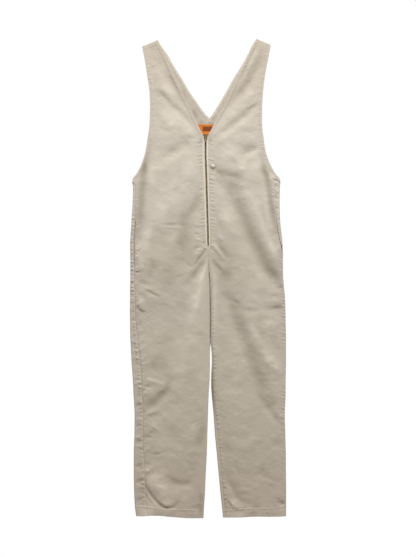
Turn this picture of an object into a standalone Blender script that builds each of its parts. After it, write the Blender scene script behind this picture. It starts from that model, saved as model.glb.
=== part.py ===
"""Sleeveless zip-front work overalls in cotton twill, laid flat with the front up.

Every size is in millimetres until a mesh is made. +X is the left side of the wearer, +Y runs from the
hems to the straps and +Z is up, away from the table that the back rests on. Each panel is a
wall of cloth: an open grid on its outer face, thickened inwards.
"""
import math
from collections import namedtuple

import bmesh
import bpy
from mathutils import Matrix, Vector

MM = 0.001

# ---- Cloth and seams -------------------------------------------------------------------------
CLOTH = 1.2                 # wall of a panel
SEAM_GAP = 0.45             # between the edges of two panels at a seam
LAY_GAP = 0.3               # between a piece and the one it lies on
FACING_THICK = 1.0
LABEL_THICK = 1.0
TAPE_THICK = 1.0
BAG_THICK = 1.6             # two layers of pocketing, one on the other
ARMHOLE_INSET = 3.0         # the back armhole lies this far inside the front one

# ---- Landmarks along the length --------------------------------------------------------------
UNDERARM_Y = 280.0
UNDERARM_BLEND = 26.0
CROTCH_Y = 2.0
CROTCH_BLEND = 44.0
BACK_NECK_Y = 464.0
SHOULDER_SLOPE_END = 540.0  # rows are level below this
HEM_SLOPE_START = -600.0    # and slope again below this
HEM_Y = -689.5
HEM_DROP = 6.0
SHOULDER_RADIUS = 2.0       # the fold where the front strap meets the back one
POCKET_TOP_Y = 177.0        # the pocket mouth in each side seam
POCKET_BOTTOM_Y = 22.0
POCKET_OPENING = 1.4        # how much wider than a seam the mouth stands open
POCKET_END_RUN = 24.0

# ---- How the cloth is divided ----------------------------------------------------------------
FIRST_STEP = 0.4            # first step in from a seam
ZONE_MIN = 5.0              # least width of the fine columns at an edge
FRONT_ARC_STEPS = 4
BACK_ARC_STEPS = 4
FRONT_MIDDLE = 6
BACK_MIDDLE = 2
SHOULDER_ROWS = (0.6, 0.85, 1.6, 2.4)
FRONT_TOP_SPANS = ((540, 5), (430, 4), (415, 1), (305, 3), (291, 1))
BACK_TOP_SPANS = ((540, 4), (464, 4), (291, 4))
SEAMED_SPANS = ((269, 4), (103, 5), (94, 1), (24, 2), (-20, 5), (-600, 15), (HEM_Y, 3))

# ---- The outline -----------------------------------------------------------------------------
# One row for each height: the outer edge of the right half, its edge towards the centre, and the
# same two edges of the left half.
Section = namedtuple("Section", "y right_side right_centre left_centre left_side")
SECTIONS = [Section(*row) for row in (
    (696, -196, -148, 141, 185),
    (684, -193.5, -144.5, 135, 182.5),
    (660, -189, -132.5, 123.5, 179),
    (620, -182, -114, 104.5, 171),
    (580, -176, -96.5, 85.5, 164),
    (540, -170, -76.5, 66, 159.5),
    (500, -168, -56.5, 47, 157),
    (460, -169.5, -36.5, 24, 156.5),
    (430, -172.5, -22.5, 9, 158),
    (415, -175, -15, 1.5, 160),
    (372, -182, -16, 1.5, 167),
    (330, -195, -14.5, 2.5, 182),
    (305, -207, -13.5, 3, 196),
    (283, -220, -12.5, 3.5, 210),
    (262, -217.5, -12, 4, 208),
    (220, -220, -10, 5, 207.5),
    (170, -222, -8.5, 6, 209),
    (123, -225.5, -6.5, 7, 214),
    (103, -226, -5.5, 6.5, 216),
    (94, -226, 0.7, 1.2, 216.5),
    (48, -226, 1.6, 2.1, 217),
    (10, -226, 2.9, 3.4, 217.5),
    (-19, -226.5, 4.4, 5.6, 220),
    (-62, -227.5, 4.8, 6, 224),
    (-120, -227, 5.2, 6.6, 226),
    (-207, -225, 5.8, 8, 226),
    (-260, -222, 5, 8.5, 226),
    (-329, -217.5, 2.5, 9.7, 226),
    (-393, -213, 0, 16, 223.5),
    (-450, -213.5, -2, 20, 225),
    (-503, -216, -3.5, 25, 226),
    (-573, -216.5, -7, 31, 227.5),
    (-619, -214.5, -9, 35.5, 227.5),
    (-654, -212.5, -11, 39.5, 227.5),
    (-696, -207.5, -13, 43.5, 227.5),
)]

# The edge of each back panel towards the centre: the back neck, then the centre seam.
BackCentre = namedtuple("BackCentre", "y right left")
BACK_CENTRES = [BackCentre(*row) for row in (
    (696, -148, 141),
    (674, -136, 127.5),
    (651, -119, 116),
    (620, -101.5, 99),
    (580, -76.5, 74),
    (541, -52, 52),
    (518, -35, 38),
    (495, -19.5, 23.5),
    (475, -4, 11),
    (464, 3.6, 4.2),
    (283, 3.4, 3.9),
    (94, 3, 3.5),
    (-19, 4.4, 5.6),
)]

# Where a seam lies, as a distance along the cloth from the fold at the edge: more than 0 is on the
# front of the garment, less than 0 is underneath.
Turn = namedtuple("Turn", "y right_side right_inseam left_inseam left_side")
TURNS = [Turn(*row) for row in (
    (290, 8, -12, 5, 14),
    (250, 8.5, -12, 5, 15),
    (207, 9, -12, 5, 13.5),
    (178, 11, -12, 5, 12.5),
    (150, 13.5, -12, 5, 12),
    (115, 13.5, -12, 5, 11),
    (50, 13.5, -12, 5, 5),
    (0, 13.5, -12, 5, 1),
    (-115, 16, -11, 5, -1),
    (-196, 22, -10, 5.5, -1.5),
    (-260, 25.5, -10, 6, 0),
    (-376, 26.5, -11, 8, 0.5),
    (-470, 28, -12, 11, -1),
    (-560, 34, -13, 10.5, -2),
    (-694, 36, -15, 10, -3),
)]

# How high the top of the cloth lies at each edge, and how far it rises between them.
Rise = namedtuple("Rise", "y side centre loft")
RISES = [Rise(*row) for row in (
    (696, 4, 4.2, 0),
    (620, 3.8, 4.2, 1.6),
    (500, 3.8, 4.2, 4),
    (430, 3.8, 4.4, 5),
    (415, 3.9, 5.6, 5),
    (305, 4.6, 5.6, 6),
    (283, 5.6, 5.6, 6.5),
    (150, 6.4, 5.6, 7),
    (94, 6.4, 5.6, 7),
    (-19, 6.2, 6, 7),
    (-207, 5.8, 6, 7),
    (-450, 5.6, 5.6, 6),
    (-654, 5.4, 5.4, 3.5),
    (-694, 5.2, 5.2, 2),
)]
LOFT_RUN = 34.0             # how quickly the cloth rises from an edge
FOLD_RUN = 30.0             # how quickly a fold grows from an edge

# The largest folds of the front: the points it passes, its half width, and its height (a trough
# is less than 0).
Fold = namedtuple("Fold", "path half_width height")
FOLDS = [Fold(*row) for row in (
    (((-150, 550), (-72, 489), (-40, 448)), 15, -1.8),       # right strap to the top of the zip
    (((-30, 412), (-107, 364), (-154, 335)), 17, -2),        # right chest
    (((68, 552), (119, 610)), 14, -1.4),                     # left strap
    (((34, 434), (96, 465), (140, 496)), 15, -2),            # left chest
    (((-183, 330), (-188, 257), (-204, 112)), 14, -3),       # beside the right side seam
    (((158, 372), (174, 228), (192, 97)), 14, -3),           # beside the left side seam
    (((24, 304), (100, 292)), 12, -2.5),                     # across below the left chest
    (((86, 289), (119, 193), (166, 96), (194, 33)), 22, -4), # left waist to the left hip
    (((-28, 262), (-46, 210), (-74, 180)), 15, -2.2),        # right of the zip
    (((-12, 86), (-54, 24)), 12, -2.6),                      # from the end of the zip
    (((-4, 60), (-34, -20), (-50, -76)), 13, 3),             # ridge into the right thigh
    (((52, -54), (83, -114), (113, -186), (133, -236), (154, -297), (174, -338)), 19, -5),
    (((136, -84), (168, -170), (202, -262)), 22, 3),         # ridge outside that long trough
    (((184, -72), (216, -84)), 12, -3),                      # left hip pinch
    (((178, -362), (200, -376)), 13, -3),                    # left knee
    (((-119, -316), (-145, -335), (-164, -352)), 12, -3.4),  # right knee
    (((-130, -386), (-170, -407)), 12, -2),                  # right calf
    (((-123, -570), (-101, -580), (-55, -597)), 14, -3),     # right shin
    (((-135, -606), (-124, -622)), 22, 3.5),                 # bulge above the right hem
    (((-183, -602), (-160, -634), (-122, -662), (-88, -650), (-77, -622)), 9, -2.6),
    (((52, -556), (72, -577), (91, -630)), 14, -2.2),        # left shin
)]

# ---- Zip, label, facings and pockets ---------------------------------------------------------
CHAIN_TOP_Y = 400.6
CHAIN_BOTTOM_Y = 104.5
CHAIN_WIDTH = 4.4
CHAIN_THICK = 2.1
CHAIN_MIDDLE_Z = 3.6
TAPE_LOW_Z = 3.1
TAPE_WIDTH = 14.0           # from the middle of the teeth to the outer edge of a tape
TAPE_TOP_Y = 412.0
TAPE_BOTTOM_Y = 84.0
TAPE_SPREAD = 1.3           # how far the tapes part round the slider's post
TAPE_SPREAD_LOW_Y = 398.6   # they start to part here
TAPE_SPREAD_RUN = 10.0
ZIP_STEPS = 16
STOP_LENGTH = 3.2
STOP_WIDTH = 4.2
STOP_THICK = 2.0

SLIDER_TOP_Y = 414.2
SLIDER_LENGTH = 12.6
SLIDER_TOP_WIDTH = 11.6
SLIDER_BOTTOM_WIDTH = 7.6
SLIDER_CORNER = 0.8
SLIDER_SIDE_STEPS = 6
PLATE_THICK = 0.8
PLATE_LOW_Z = 1.7
PLATE_HIGH_Z = 5.2
POST_WIDTH = 4.0
POST_LENGTH = 4.6
POST_SETBACK = 1.0          # from the slider's top end
BAIL_RADIUS = 1.7
BAIL_WIRE = 0.45
ROUND_STEPS = 8             # steps in a half circle
BAIL_CLEAR = 0.95           # from the slider's top face up to the pull's axis
PULL_LENGTH = 12.4
PULL_WIDTH = 4.6
PULL_THICK = 0.9
PULL_SLOT_WIDTH = 2.0
PULL_SLOT_END = 2.75
PULL_NECK = 2.0             # half the tab's width beside its slot
PULL_SHOULDER_Y = 3.75

LABEL_TOP_Y = 446.6
LABEL_HEIGHT = 30.0
LABEL_WIDTH = 60.0
LABEL_X = -5.9
LABEL_COLUMNS = 6
LABEL_ROWS = 3
FACING_WIDTH = 8.0
FACING_EDGE = 1.0           # bare cloth between the facing and the neck edge
FACING_ROWS = (662, 641, 620, 600, 580, 560, 541, 529, 518, 506, 495, 484, 475)
FACING_COLUMNS = 2
BAG_TOP_Y = 186.0
BAG_BOTTOM_Y = -74.0
BAG_REACH = 150.0           # from the side edge in towards the centre
BAG_EDGE = 6.0              # from the side edge to the bag
BAG_CORNER = 62.0
BAG_SIDE_STEPS = 8
BAG_CORNER_STEPS = 6
WELD = 0.002

# ---- Colours ---------------------------------------------------------------------------------
TWILL = ("ecru twill", (0.58, 0.52, 0.42), 0.9, 0.0)
TAPE_CLOTH = ("zip tape", (0.66, 0.60, 0.50), 0.85, 0.0)
ORANGE = ("orange label", (0.74, 0.22, 0.05), 0.75, 0.0)
POCKETING = ("pocketing", (0.68, 0.64, 0.56), 0.9, 0.0)
DARK_BRASS = ("dark brass", (0.17, 0.11, 0.06), 0.4, 1.0)
GOLD_BRASS = ("gold brass", (0.66, 0.44, 0.17), 0.32, 1.0)

# Each half of the garment: the sign of its side, and the outer corner of its strap top, with how
# much higher the inner corner lies.
Half = namedtuple("Half", "name sign shoulder_y shoulder_rise")
HALVES = (Half("right", -1, 673.0, 19.0), Half("left", 1, 678.6, 17.0))


# ---- Reading the tables ----------------------------------------------------------------------
def mix(low, high, share):
    """The value a share of the way from low to high."""
    return low + (high - low) * share


def ease(share):
    """A smooth step from 0 to 1."""
    share = min(max(share, 0.0), 1.0)
    return share * share * (3.0 - 2.0 * share)


def slope_between(before, after):
    """A slope at a row that never overshoots its neighbours."""
    return 0.0 if before * after <= 0.0 else 2.0 * before * after / (before + after)


def read(table, column, y):
    """One column of a table at height y, on a smooth curve that keeps to the rows."""
    heights = [row.y for row in table]
    values = [getattr(row, column) for row in table]
    if y >= heights[0]:
        return values[0]
    if y <= heights[-1]:
        return values[-1]
    at = next(i for i in range(len(heights) - 1) if heights[i] >= y >= heights[i + 1])
    slopes = [(values[i + 1] - values[i]) / (heights[i + 1] - heights[i])
              for i in range(len(heights) - 1)]
    start = slope_between(slopes[at - 1], slopes[at]) if at > 0 else slopes[at]
    stop = slope_between(slopes[at], slopes[at + 1]) if at + 1 < len(slopes) else slopes[at]
    run = heights[at + 1] - heights[at]
    share = (y - heights[at]) / run
    rest = 1.0 - share
    return (values[at] * (1.0 + 2.0 * share) * rest * rest
            + values[at + 1] * (3.0 - 2.0 * share) * share * share
            + run * share * rest * (start * rest - stop * share))


# ---- Form of the cloth -----------------------------------------------------------------------
def round_fold(along, radius):
    """Inset and height on a half-round fold, by the distance along the cloth from its extreme.

    The distance is more than 0 on the upper layer. The height is 0 on the lower layer and twice
    the radius on the upper one.
    """
    quarter = radius * math.pi / 2.0
    if along > quarter:
        return radius + along - quarter, 2.0 * radius
    if along < -quarter:
        return radius - along - quarter, 0.0
    angle = along / radius
    return radius * (1.0 - math.cos(angle)), radius * (1.0 + math.sin(angle))


def edge_steps(end, radius, count):
    """Distances along the cloth for the fine columns, from a panel's end round the fold."""
    quarter = radius * math.pi / 2.0
    start = max(end + FIRST_STEP, -quarter)
    stop = max(start + ZONE_MIN, quarter)
    return [end] + [mix(start, stop, step / count) for step in range(count + 1)]


def distance_to_path(x, y, path):
    """Distance from a point to a bent line."""
    point = Vector((x, y))
    best = math.inf
    for first, last in zip(path, path[1:]):
        start = Vector(first)
        run = Vector(last) - start
        share = min(max((point - start).dot(run) / run.length_squared, 0.0), 1.0)
        best = min(best, (point - start - run * share).length)
    return best


def fold_height(x, y):
    """Height of all the folds together at a point of the front."""
    return sum(fold.height * math.exp(-(distance_to_path(x, y, fold.path) / fold.half_width) ** 2)
               for fold in FOLDS)


def front_rise(x, y, from_side, from_centre):
    """How far the front rises above its edges at a point, by its distance from each."""
    side = 1.0 - math.exp(-(from_side / LOFT_RUN) ** 2)
    centre = 1.0 - math.exp(-(from_centre / LOFT_RUN) ** 2)
    nearest = min(from_side, from_centre)
    return read(RISES, "loft", y) * side * centre + fold_height(x, y) * ease(nearest / FOLD_RUN)


def row_slope(half, y):
    """How much higher a row's end is at the centre than at the side."""
    shoulder = ease((y - SHOULDER_SLOPE_END) / (half.shoulder_y - SHOULDER_SLOPE_END))
    hem = ease((HEM_SLOPE_START - y) / (HEM_SLOPE_START - HEM_Y))
    return half.shoulder_rise * shoulder - HEM_DROP * hem


Edge = namedtuple("Edge", "x radius end shift")


def half_gap(turn, radius):
    """Half the gap at a seam, wider on a fold, where the inner faces come closer together."""
    on_fold = abs(turn) < radius * math.pi / 2.0 + CLOTH
    return SEAM_GAP / 2.0 * (radius / (radius - CLOTH) if on_fold else 1.0)


def mouth_gap(y):
    """What the pocket mouth adds to half the gap of a side seam."""
    below = ease((POCKET_TOP_Y - y) / POCKET_END_RUN)
    above = ease((y - POCKET_BOTTOM_Y) / POCKET_END_RUN)
    return POCKET_OPENING / 2.0 * below * above


def side_edge(half, y, front):
    """The armhole or side seam end of a row."""
    radius = read(RISES, "side", y) / 2.0
    quarter = radius * math.pi / 2.0
    folded = ease((UNDERARM_Y + UNDERARM_BLEND / 2.0 - y) / UNDERARM_BLEND)
    turn = read(TURNS, half.name + "_side", y)
    x = read(SECTIONS, half.name + "_side", y)
    if front:
        end = mix(quarter, turn + half_gap(turn, radius) + mouth_gap(y), folded)
        shift = round_fold(max(end, 0.0), radius)[0] * (1.0 - folded)
    else:
        end = mix(quarter + ARMHOLE_INSET, half_gap(turn, radius) + mouth_gap(y) - turn, folded)
        shift = 0.0
    return Edge(x, radius, end, shift)


def centre_edge(half, y, front):
    """The neck, zip, centre seam or inseam end of a row."""
    radius = read(RISES, "centre", y) / 2.0
    quarter = radius * math.pi / 2.0
    folded = ease((CROTCH_Y + CROTCH_BLEND / 2.0 - y) / CROTCH_BLEND)
    turn = read(TURNS, half.name + "_inseam", y)
    if front or y < BACK_CENTRES[-1].y:
        x = read(SECTIONS, half.name + "_centre", y)
    else:
        x = read(BACK_CENTRES, half.name, y)
    end = mix(quarter, (turn if front else -turn) + half_gap(turn, radius), folded)
    shift = round_fold(max(end, 0.0), radius)[0] * (1.0 - folded)
    return Edge(x, radius, end, shift)


def panel_row(half, row_y, front, middle, arc_steps):
    """One row of a panel's outer face, from the side to the centre."""
    slope = row_slope(half, row_y)
    side = side_edge(half, row_y, front)
    centre = centre_edge(half, row_y + slope, front)
    width = abs(centre.x - side.x)
    runs = []
    for edge, inward in ((side, -half.sign), (centre, half.sign)):
        run = []
        for along in edge_steps(edge.end, edge.radius, arc_steps):
            inset, height = round_fold(along, edge.radius)
            height = height if front else 2.0 * edge.radius - height
            run.append((edge.x + inward * (inset - edge.shift), height, height / (2.0 * edge.radius)))
        runs.append(run)
    side_run, centre_run = runs[0], runs[1][::-1]
    between = [tuple(mix(low, high, step / (middle + 1))
                     for low, high in zip(side_run[-1], centre_run[0]))
               for step in range(1, middle + 1)]
    row = []
    for x, height, upper in side_run + between + centre_run:
        from_side = max((side.x - x) * half.sign, 0.0)
        from_centre = max((x - centre.x) * half.sign, 0.0)
        y = row_y + slope * min(from_side / width, 1.0)
        rise = front_rise(x, y, from_side, from_centre) * ease(upper) if upper > 0.0 else 0.0
        row.append(Vector((x, y, height + rise)))
    return row


def roll_over_shoulder(row, along):
    """Turn a row near the strap's top towards the fold at half height."""
    turned = math.sin(along / SHOULDER_RADIUS)
    return [Vector((p.x, p.y, SHOULDER_RADIUS + (p.z - SHOULDER_RADIUS) * turned)) for p in row]


def panel_rows(half, front):
    """All the rows of a panel's outer face, from the strap's top to the hem."""
    middle = FRONT_MIDDLE if front else BACK_MIDDLE
    arc_steps = FRONT_ARC_STEPS if front else BACK_ARC_STEPS
    rows = []
    for along in SHOULDER_ROWS:
        drop = SHOULDER_RADIUS * (1.0 - math.cos(along / SHOULDER_RADIUS))
        row = panel_row(half, half.shoulder_y - drop, front, middle, arc_steps)
        rows.append(roll_over_shoulder(row, along))
    y = half.shoulder_y - SHOULDER_RADIUS
    rows.append(panel_row(half, y, front, middle, arc_steps))
    for stop, count in (FRONT_TOP_SPANS if front else BACK_TOP_SPANS) + SEAMED_SPANS:
        rows += [panel_row(half, mix(y, stop, (step + 1) / count), front, middle, arc_steps)
                 for step in range(count)]
        y = stop
    return rows


# ---- Making meshes ---------------------------------------------------------------------------
def clear_scene():
    """Remove every object of the scene."""
    for thing in list(bpy.data.objects):
        bpy.data.objects.remove(thing, do_unlink=True)


def new_collection(name):
    """A new collection of the scene."""
    made = bpy.data.collections.new(name)
    bpy.context.scene.collection.children.link(made)
    return made


def finish_material(finish):
    """The material of one finish: its name, colour, roughness and metallic value."""
    name, colour, roughness, metallic = finish
    material = bpy.data.materials.get(name)
    if material is None:
        material = bpy.data.materials.new(name)
        material.use_nodes = True
        shader = material.node_tree.nodes["Principled BSDF"]
        shader.inputs["Base Color"].default_value = (*colour, 1.0)
        shader.inputs["Roughness"].default_value = roughness
        shader.inputs["Metallic"].default_value = metallic
    return material


def add_object(name, mesh, finish, collection):
    """An object of a mesh, with its material."""
    made = bpy.data.objects.new(name, mesh)
    made.data.materials.clear()
    made.data.materials.append(finish_material(finish))
    collection.objects.link(made)
    return made


def add_sheet(name, rows, thickness, facing, finish, collection):
    """A wall of cloth: a grid of points on one face, thickened away from the side it faces."""
    shape = bmesh.new()
    grid = [[shape.verts.new(point * MM) for point in row] for row in rows]
    for upper, lower in zip(grid, grid[1:]):
        for at in range(len(upper) - 1):
            shape.faces.new((upper[at], upper[at + 1], lower[at + 1], lower[at]))
    shape.normal_update()
    if sum(face.normal.z * face.calc_area() for face in shape.faces) * facing < 0.0:
        bmesh.ops.reverse_faces(shape, faces=shape.faces[:])
    mesh = bpy.data.meshes.new(name)
    shape.to_mesh(mesh)
    shape.free()
    mesh.shade_smooth()
    made = add_object(name, mesh, finish, collection)
    wall = made.modifiers.new("Wall", "SOLIDIFY")
    wall.thickness = thickness * MM
    wall.offset = -1.0
    return made


def add_plate(name, outline, low_z, high_z, finish, collection):
    """A flat plate of an outline, as a mesh with closed faces."""
    curve = bpy.data.curves.new(name, "CURVE")
    curve.dimensions = "2D"
    curve.fill_mode = "BOTH"
    curve.extrude = (high_z - low_z) / 2.0 * MM
    spline = curve.splines.new("POLY")
    spline.points.add(len(outline) - 1)
    for point, (x, y) in zip(spline.points, outline):
        point.co = (x * MM, y * MM, 0.0, 1.0)
    spline.use_cyclic_u = True
    return curve_to_mesh(name, curve, Vector((0, 0, (low_z + high_z) / 2.0)), finish, collection)


def add_wire(name, points, radius, finish, collection):
    """A round wire along points, as a mesh with closed ends."""
    curve = bpy.data.curves.new(name, "CURVE")
    curve.dimensions = "3D"
    curve.bevel_depth = radius * MM
    curve.bevel_resolution = 2
    curve.use_fill_caps = True
    spline = curve.splines.new("POLY")
    spline.points.add(len(points) - 1)
    for point, place in zip(spline.points, points):
        point.co = (*(Vector(place) * MM), 1.0)
    return curve_to_mesh(name, curve, Vector((0, 0, 0)), finish, collection)


def curve_to_mesh(name, curve, place, finish, collection):
    """Make a curve a mesh object with welded caps, moved to its place."""
    guide = bpy.data.objects.new(name + "_curve", curve)
    bpy.context.scene.collection.objects.link(guide)
    bpy.context.view_layer.update()
    graph = bpy.context.evaluated_depsgraph_get()
    mesh = bpy.data.meshes.new_from_object(guide.evaluated_get(graph))
    bpy.data.objects.remove(guide, do_unlink=True)
    shape = bmesh.new()
    shape.from_mesh(mesh)
    bmesh.ops.remove_doubles(shape, verts=shape.verts[:], dist=WELD * MM)
    bmesh.ops.translate(shape, verts=shape.verts[:], vec=place * MM)
    bmesh.ops.recalc_face_normals(shape, faces=shape.faces[:])
    shape.to_mesh(mesh)
    shape.free()
    return add_object(name, mesh, finish, collection)


def add_box(name, low, high, finish, collection):
    """A box between two corners."""
    shape = bmesh.new()
    bmesh.ops.create_cube(shape, size=1.0)
    size = (Vector(high) - Vector(low)) * MM
    middle = (Vector(high) + Vector(low)) / 2.0 * MM
    bmesh.ops.transform(shape, matrix=Matrix.Translation(middle) @ Matrix.Diagonal((*size, 1.0)),
                        verts=shape.verts[:])
    mesh = bpy.data.meshes.new(name)
    shape.to_mesh(mesh)
    shape.free()
    return add_object(name, mesh, finish, collection)


def combine(target, other, operation):
    """Join another solid to a target or cut it away, and keep that solid out of sight."""
    other.hide_render = True
    other.display_type = "WIRE"
    step = target.modifiers.new(operation.title() + " " + other.name, "BOOLEAN")
    step.operation = operation
    step.object = other


# ---- The pieces ------------------------------------------------------------------------------
def zip_centre(y):
    """The middle line of the teeth: half way between the edges of the opening."""
    return (read(SECTIONS, "right_centre", y) + read(SECTIONS, "left_centre", y)) / 2.0


def build_panels(collection):
    """The two fronts and the two backs, each from strap to hem in one piece."""
    for half in HALVES:
        add_sheet("front_" + half.name, panel_rows(half, True), CLOTH, 1, TWILL, collection)
        add_sheet("back_" + half.name, panel_rows(half, False), CLOTH, -1, TWILL, collection)


def build_facings(collection):
    """The turned edges inside the back neck, mitred at the centre."""
    low_z = CLOTH + LAY_GAP
    for half in HALVES:
        top = Vector((read(BACK_CENTRES, half.name, FACING_ROWS[0]), FACING_ROWS[0], 0.0))
        tip = Vector((read(BACK_CENTRES, half.name, BACK_NECK_Y), BACK_NECK_Y, 0.0))
        along = (tip - top).normalized()
        outward = Vector((along.y, -along.x, 0.0)) * -half.sign
        if outward.y > 0.0:
            outward = -outward
        reaches = [mix(FACING_EDGE, FACING_WIDTH, step / FACING_COLUMNS)
                   for step in range(FACING_COLUMNS + 1)]
        rows = []
        for y in FACING_ROWS:
            edge = Vector((read(BACK_CENTRES, half.name, y), y, low_z + FACING_THICK))
            rows.append([edge + outward * reach for reach in reaches])
        mitre = abs(1.0 / outward.y)
        rows.append([Vector((tip.x, BACK_NECK_Y - reach * mitre, low_z + FACING_THICK))
                     for reach in reaches])
        add_sheet("neck_facing_" + half.name, rows, FACING_THICK, 1, TWILL, collection)


def build_label(collection):
    """The label inside the back neck, lying on the back panels."""
    high_z = CLOTH + LAY_GAP + LABEL_THICK
    rows = [[Vector((LABEL_X + LABEL_WIDTH * (across / LABEL_COLUMNS - 0.5),
                     LABEL_TOP_Y - LABEL_HEIGHT * down / LABEL_ROWS, high_z))
             for across in range(LABEL_COLUMNS + 1)] for down in range(LABEL_ROWS + 1)]
    add_sheet("neck_label", rows, LABEL_THICK, 1, ORANGE, collection)


def build_pockets(collection):
    """The pocket bags that hang inside the side seams, between front and back."""
    low_z = CLOTH + LAY_GAP
    for half in HALVES:
        side = [(read(SECTIONS, half.name + "_side", y) - half.sign * BAG_EDGE, y)
                for y in (mix(BAG_TOP_Y, BAG_BOTTOM_Y, step / BAG_SIDE_STEPS)
                          for step in range(BAG_SIDE_STEPS + 1))]
        inner_x = side[0][0] - half.sign * BAG_REACH
        corners = []
        for middle_y, start in ((BAG_BOTTOM_Y + BAG_CORNER, -90.0), (BAG_TOP_Y - BAG_CORNER, 0.0)):
            for step in range(BAG_CORNER_STEPS + 1):
                angle = math.radians(start + 90.0 * step / BAG_CORNER_STEPS)
                corners.append((inner_x + half.sign * BAG_CORNER * (1.0 - math.cos(angle)),
                                middle_y + BAG_CORNER * math.sin(angle)))
        add_plate("pocket_bag_" + half.name, side + corners, low_z, low_z + BAG_THICK,
                  POCKETING, collection)


def build_zip(collection):
    """Both tapes, the teeth as a plain bar, and the bottom stop."""
    for half in HALVES:
        rows = []
        for step in range(ZIP_STEPS + 1):
            y = mix(TAPE_TOP_Y, TAPE_BOTTOM_Y, step / ZIP_STEPS)
            parted = TAPE_SPREAD * ease((y - TAPE_SPREAD_LOW_Y) / TAPE_SPREAD_RUN)
            inner = CHAIN_WIDTH / 2.0 + LAY_GAP + parted
            rows.append([Vector((zip_centre(y) + half.sign * reach, y, TAPE_LOW_Z + TAPE_THICK))
                         for reach in (TAPE_WIDTH, mix(TAPE_WIDTH, inner, 0.5), inner)])
        add_sheet("zip_tape_" + half.name, rows, TAPE_THICK, 1, TAPE_CLOTH, collection)
    rows = []
    for step in range(ZIP_STEPS + 1):
        y = mix(CHAIN_TOP_Y, CHAIN_BOTTOM_Y, step / ZIP_STEPS)
        rows.append([Vector((zip_centre(y) + side * CHAIN_WIDTH / 2.0, y,
                             CHAIN_MIDDLE_Z + CHAIN_THICK / 2.0)) for side in (-1, 1)])
    add_sheet("zip_chain", rows, CHAIN_THICK, 1, DARK_BRASS, collection)
    stop_x = zip_centre(CHAIN_BOTTOM_Y - LAY_GAP)
    stop_high = CHAIN_BOTTOM_Y - LAY_GAP
    add_box("zip_stop",
            (stop_x - STOP_WIDTH / 2.0, stop_high - STOP_LENGTH, CHAIN_MIDDLE_Z - STOP_THICK / 2.0),
            (stop_x + STOP_WIDTH / 2.0, stop_high, CHAIN_MIDDLE_Z + STOP_THICK / 2.0),
            DARK_BRASS, collection)


def pull_axis():
    """A point on the pull tab's axis, which runs along X inside the bail."""
    y = SLIDER_TOP_Y - SLIDER_LENGTH / 2.0
    return Vector((zip_centre(y), y, PLATE_HIGH_Z + PLATE_THICK + BAIL_CLEAR))


def slider_outline():
    """The shield outline of a slider plate, wide at the top."""
    middle_x = pull_axis().x
    half_outline = []
    for step in range(SLIDER_SIDE_STEPS + 1):
        share = step / SLIDER_SIDE_STEPS
        width = mix(SLIDER_TOP_WIDTH, SLIDER_BOTTOM_WIDTH, ease(share)) / 2.0
        corner = SLIDER_CORNER if step in (0, SLIDER_SIDE_STEPS) else 0.0
        half_outline.append((width - corner, SLIDER_TOP_Y - SLIDER_LENGTH * share))
    return ([(middle_x + x, y) for x, y in half_outline]
            + [(middle_x - x, y) for x, y in reversed(half_outline)])


def build_slider(collection, tools):
    """The slider: two shield plates, the post between them and the bail on top."""
    outline = slider_outline()
    axis = pull_axis()
    slider = add_plate("zip_slider", outline, PLATE_HIGH_Z, PLATE_HIGH_Z + PLATE_THICK,
                       DARK_BRASS, collection)
    lower = add_plate("slider_lower_plate", outline, PLATE_LOW_Z, PLATE_LOW_Z + PLATE_THICK,
                      DARK_BRASS, tools)
    sunk = PLATE_THICK / 2.0
    post_top = SLIDER_TOP_Y - POST_SETBACK
    post = add_box("slider_post",
                   (axis.x - POST_WIDTH / 2.0, post_top - POST_LENGTH, PLATE_LOW_Z + sunk),
                   (axis.x + POST_WIDTH / 2.0, post_top, PLATE_HIGH_Z + sunk),
                   DARK_BRASS, tools)
    arch = [(axis.x, axis.y - BAIL_RADIUS, PLATE_HIGH_Z + sunk)]
    for step in range(ROUND_STEPS + 1):
        angle = math.pi * step / ROUND_STEPS
        arch.append((axis.x, axis.y - BAIL_RADIUS * math.cos(angle),
                     axis.z + BAIL_RADIUS * math.sin(angle)))
    arch.append((axis.x, axis.y + BAIL_RADIUS, PLATE_HIGH_Z + sunk))
    bail = add_wire("slider_bail", arch, BAIL_WIRE, DARK_BRASS, tools)
    for piece in (post, lower, bail):
        combine(slider, piece, "UNION")


def build_pull(collection, tools):
    """The pull tab, lying down over the teeth, with its cross bar inside the bail."""
    axis = pull_axis()
    end_radius = PULL_WIDTH / 2.0
    outline = [(-PULL_NECK, PULL_THICK / 2.0), (-PULL_NECK, -PULL_SHOULDER_Y)]
    for step in range(ROUND_STEPS + 1):
        angle = math.pi + math.pi * step / ROUND_STEPS
        outline.append((end_radius * math.cos(angle),
                        -PULL_LENGTH + end_radius + end_radius * math.sin(angle)))
    outline += [(PULL_NECK, -PULL_SHOULDER_Y), (PULL_NECK, PULL_THICK / 2.0)]
    placed = [(axis.x + x, axis.y + y) for x, y in outline]
    pull = add_plate("zip_pull", placed, axis.z - PULL_THICK / 2.0, axis.z + PULL_THICK / 2.0,
                     GOLD_BRASS, collection)
    slot = add_box("pull_slot",
                   (axis.x - PULL_SLOT_WIDTH / 2.0, axis.y - PULL_SLOT_END, axis.z - PULL_THICK),
                   (axis.x + PULL_SLOT_WIDTH / 2.0, axis.y - PULL_THICK / 2.0, axis.z + PULL_THICK),
                   GOLD_BRASS, tools)
    combine(pull, slot, "DIFFERENCE")


def main():
    """Build the whole garment."""
    clear_scene()
    garment = new_collection("work_overalls")
    tools = new_collection("cutters")
    build_panels(garment)
    build_facings(garment)
    build_label(garment)
    build_pockets(garment)
    build_zip(garment)
    build_slider(garment, tools)
    build_pull(garment, tools)


main()
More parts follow.
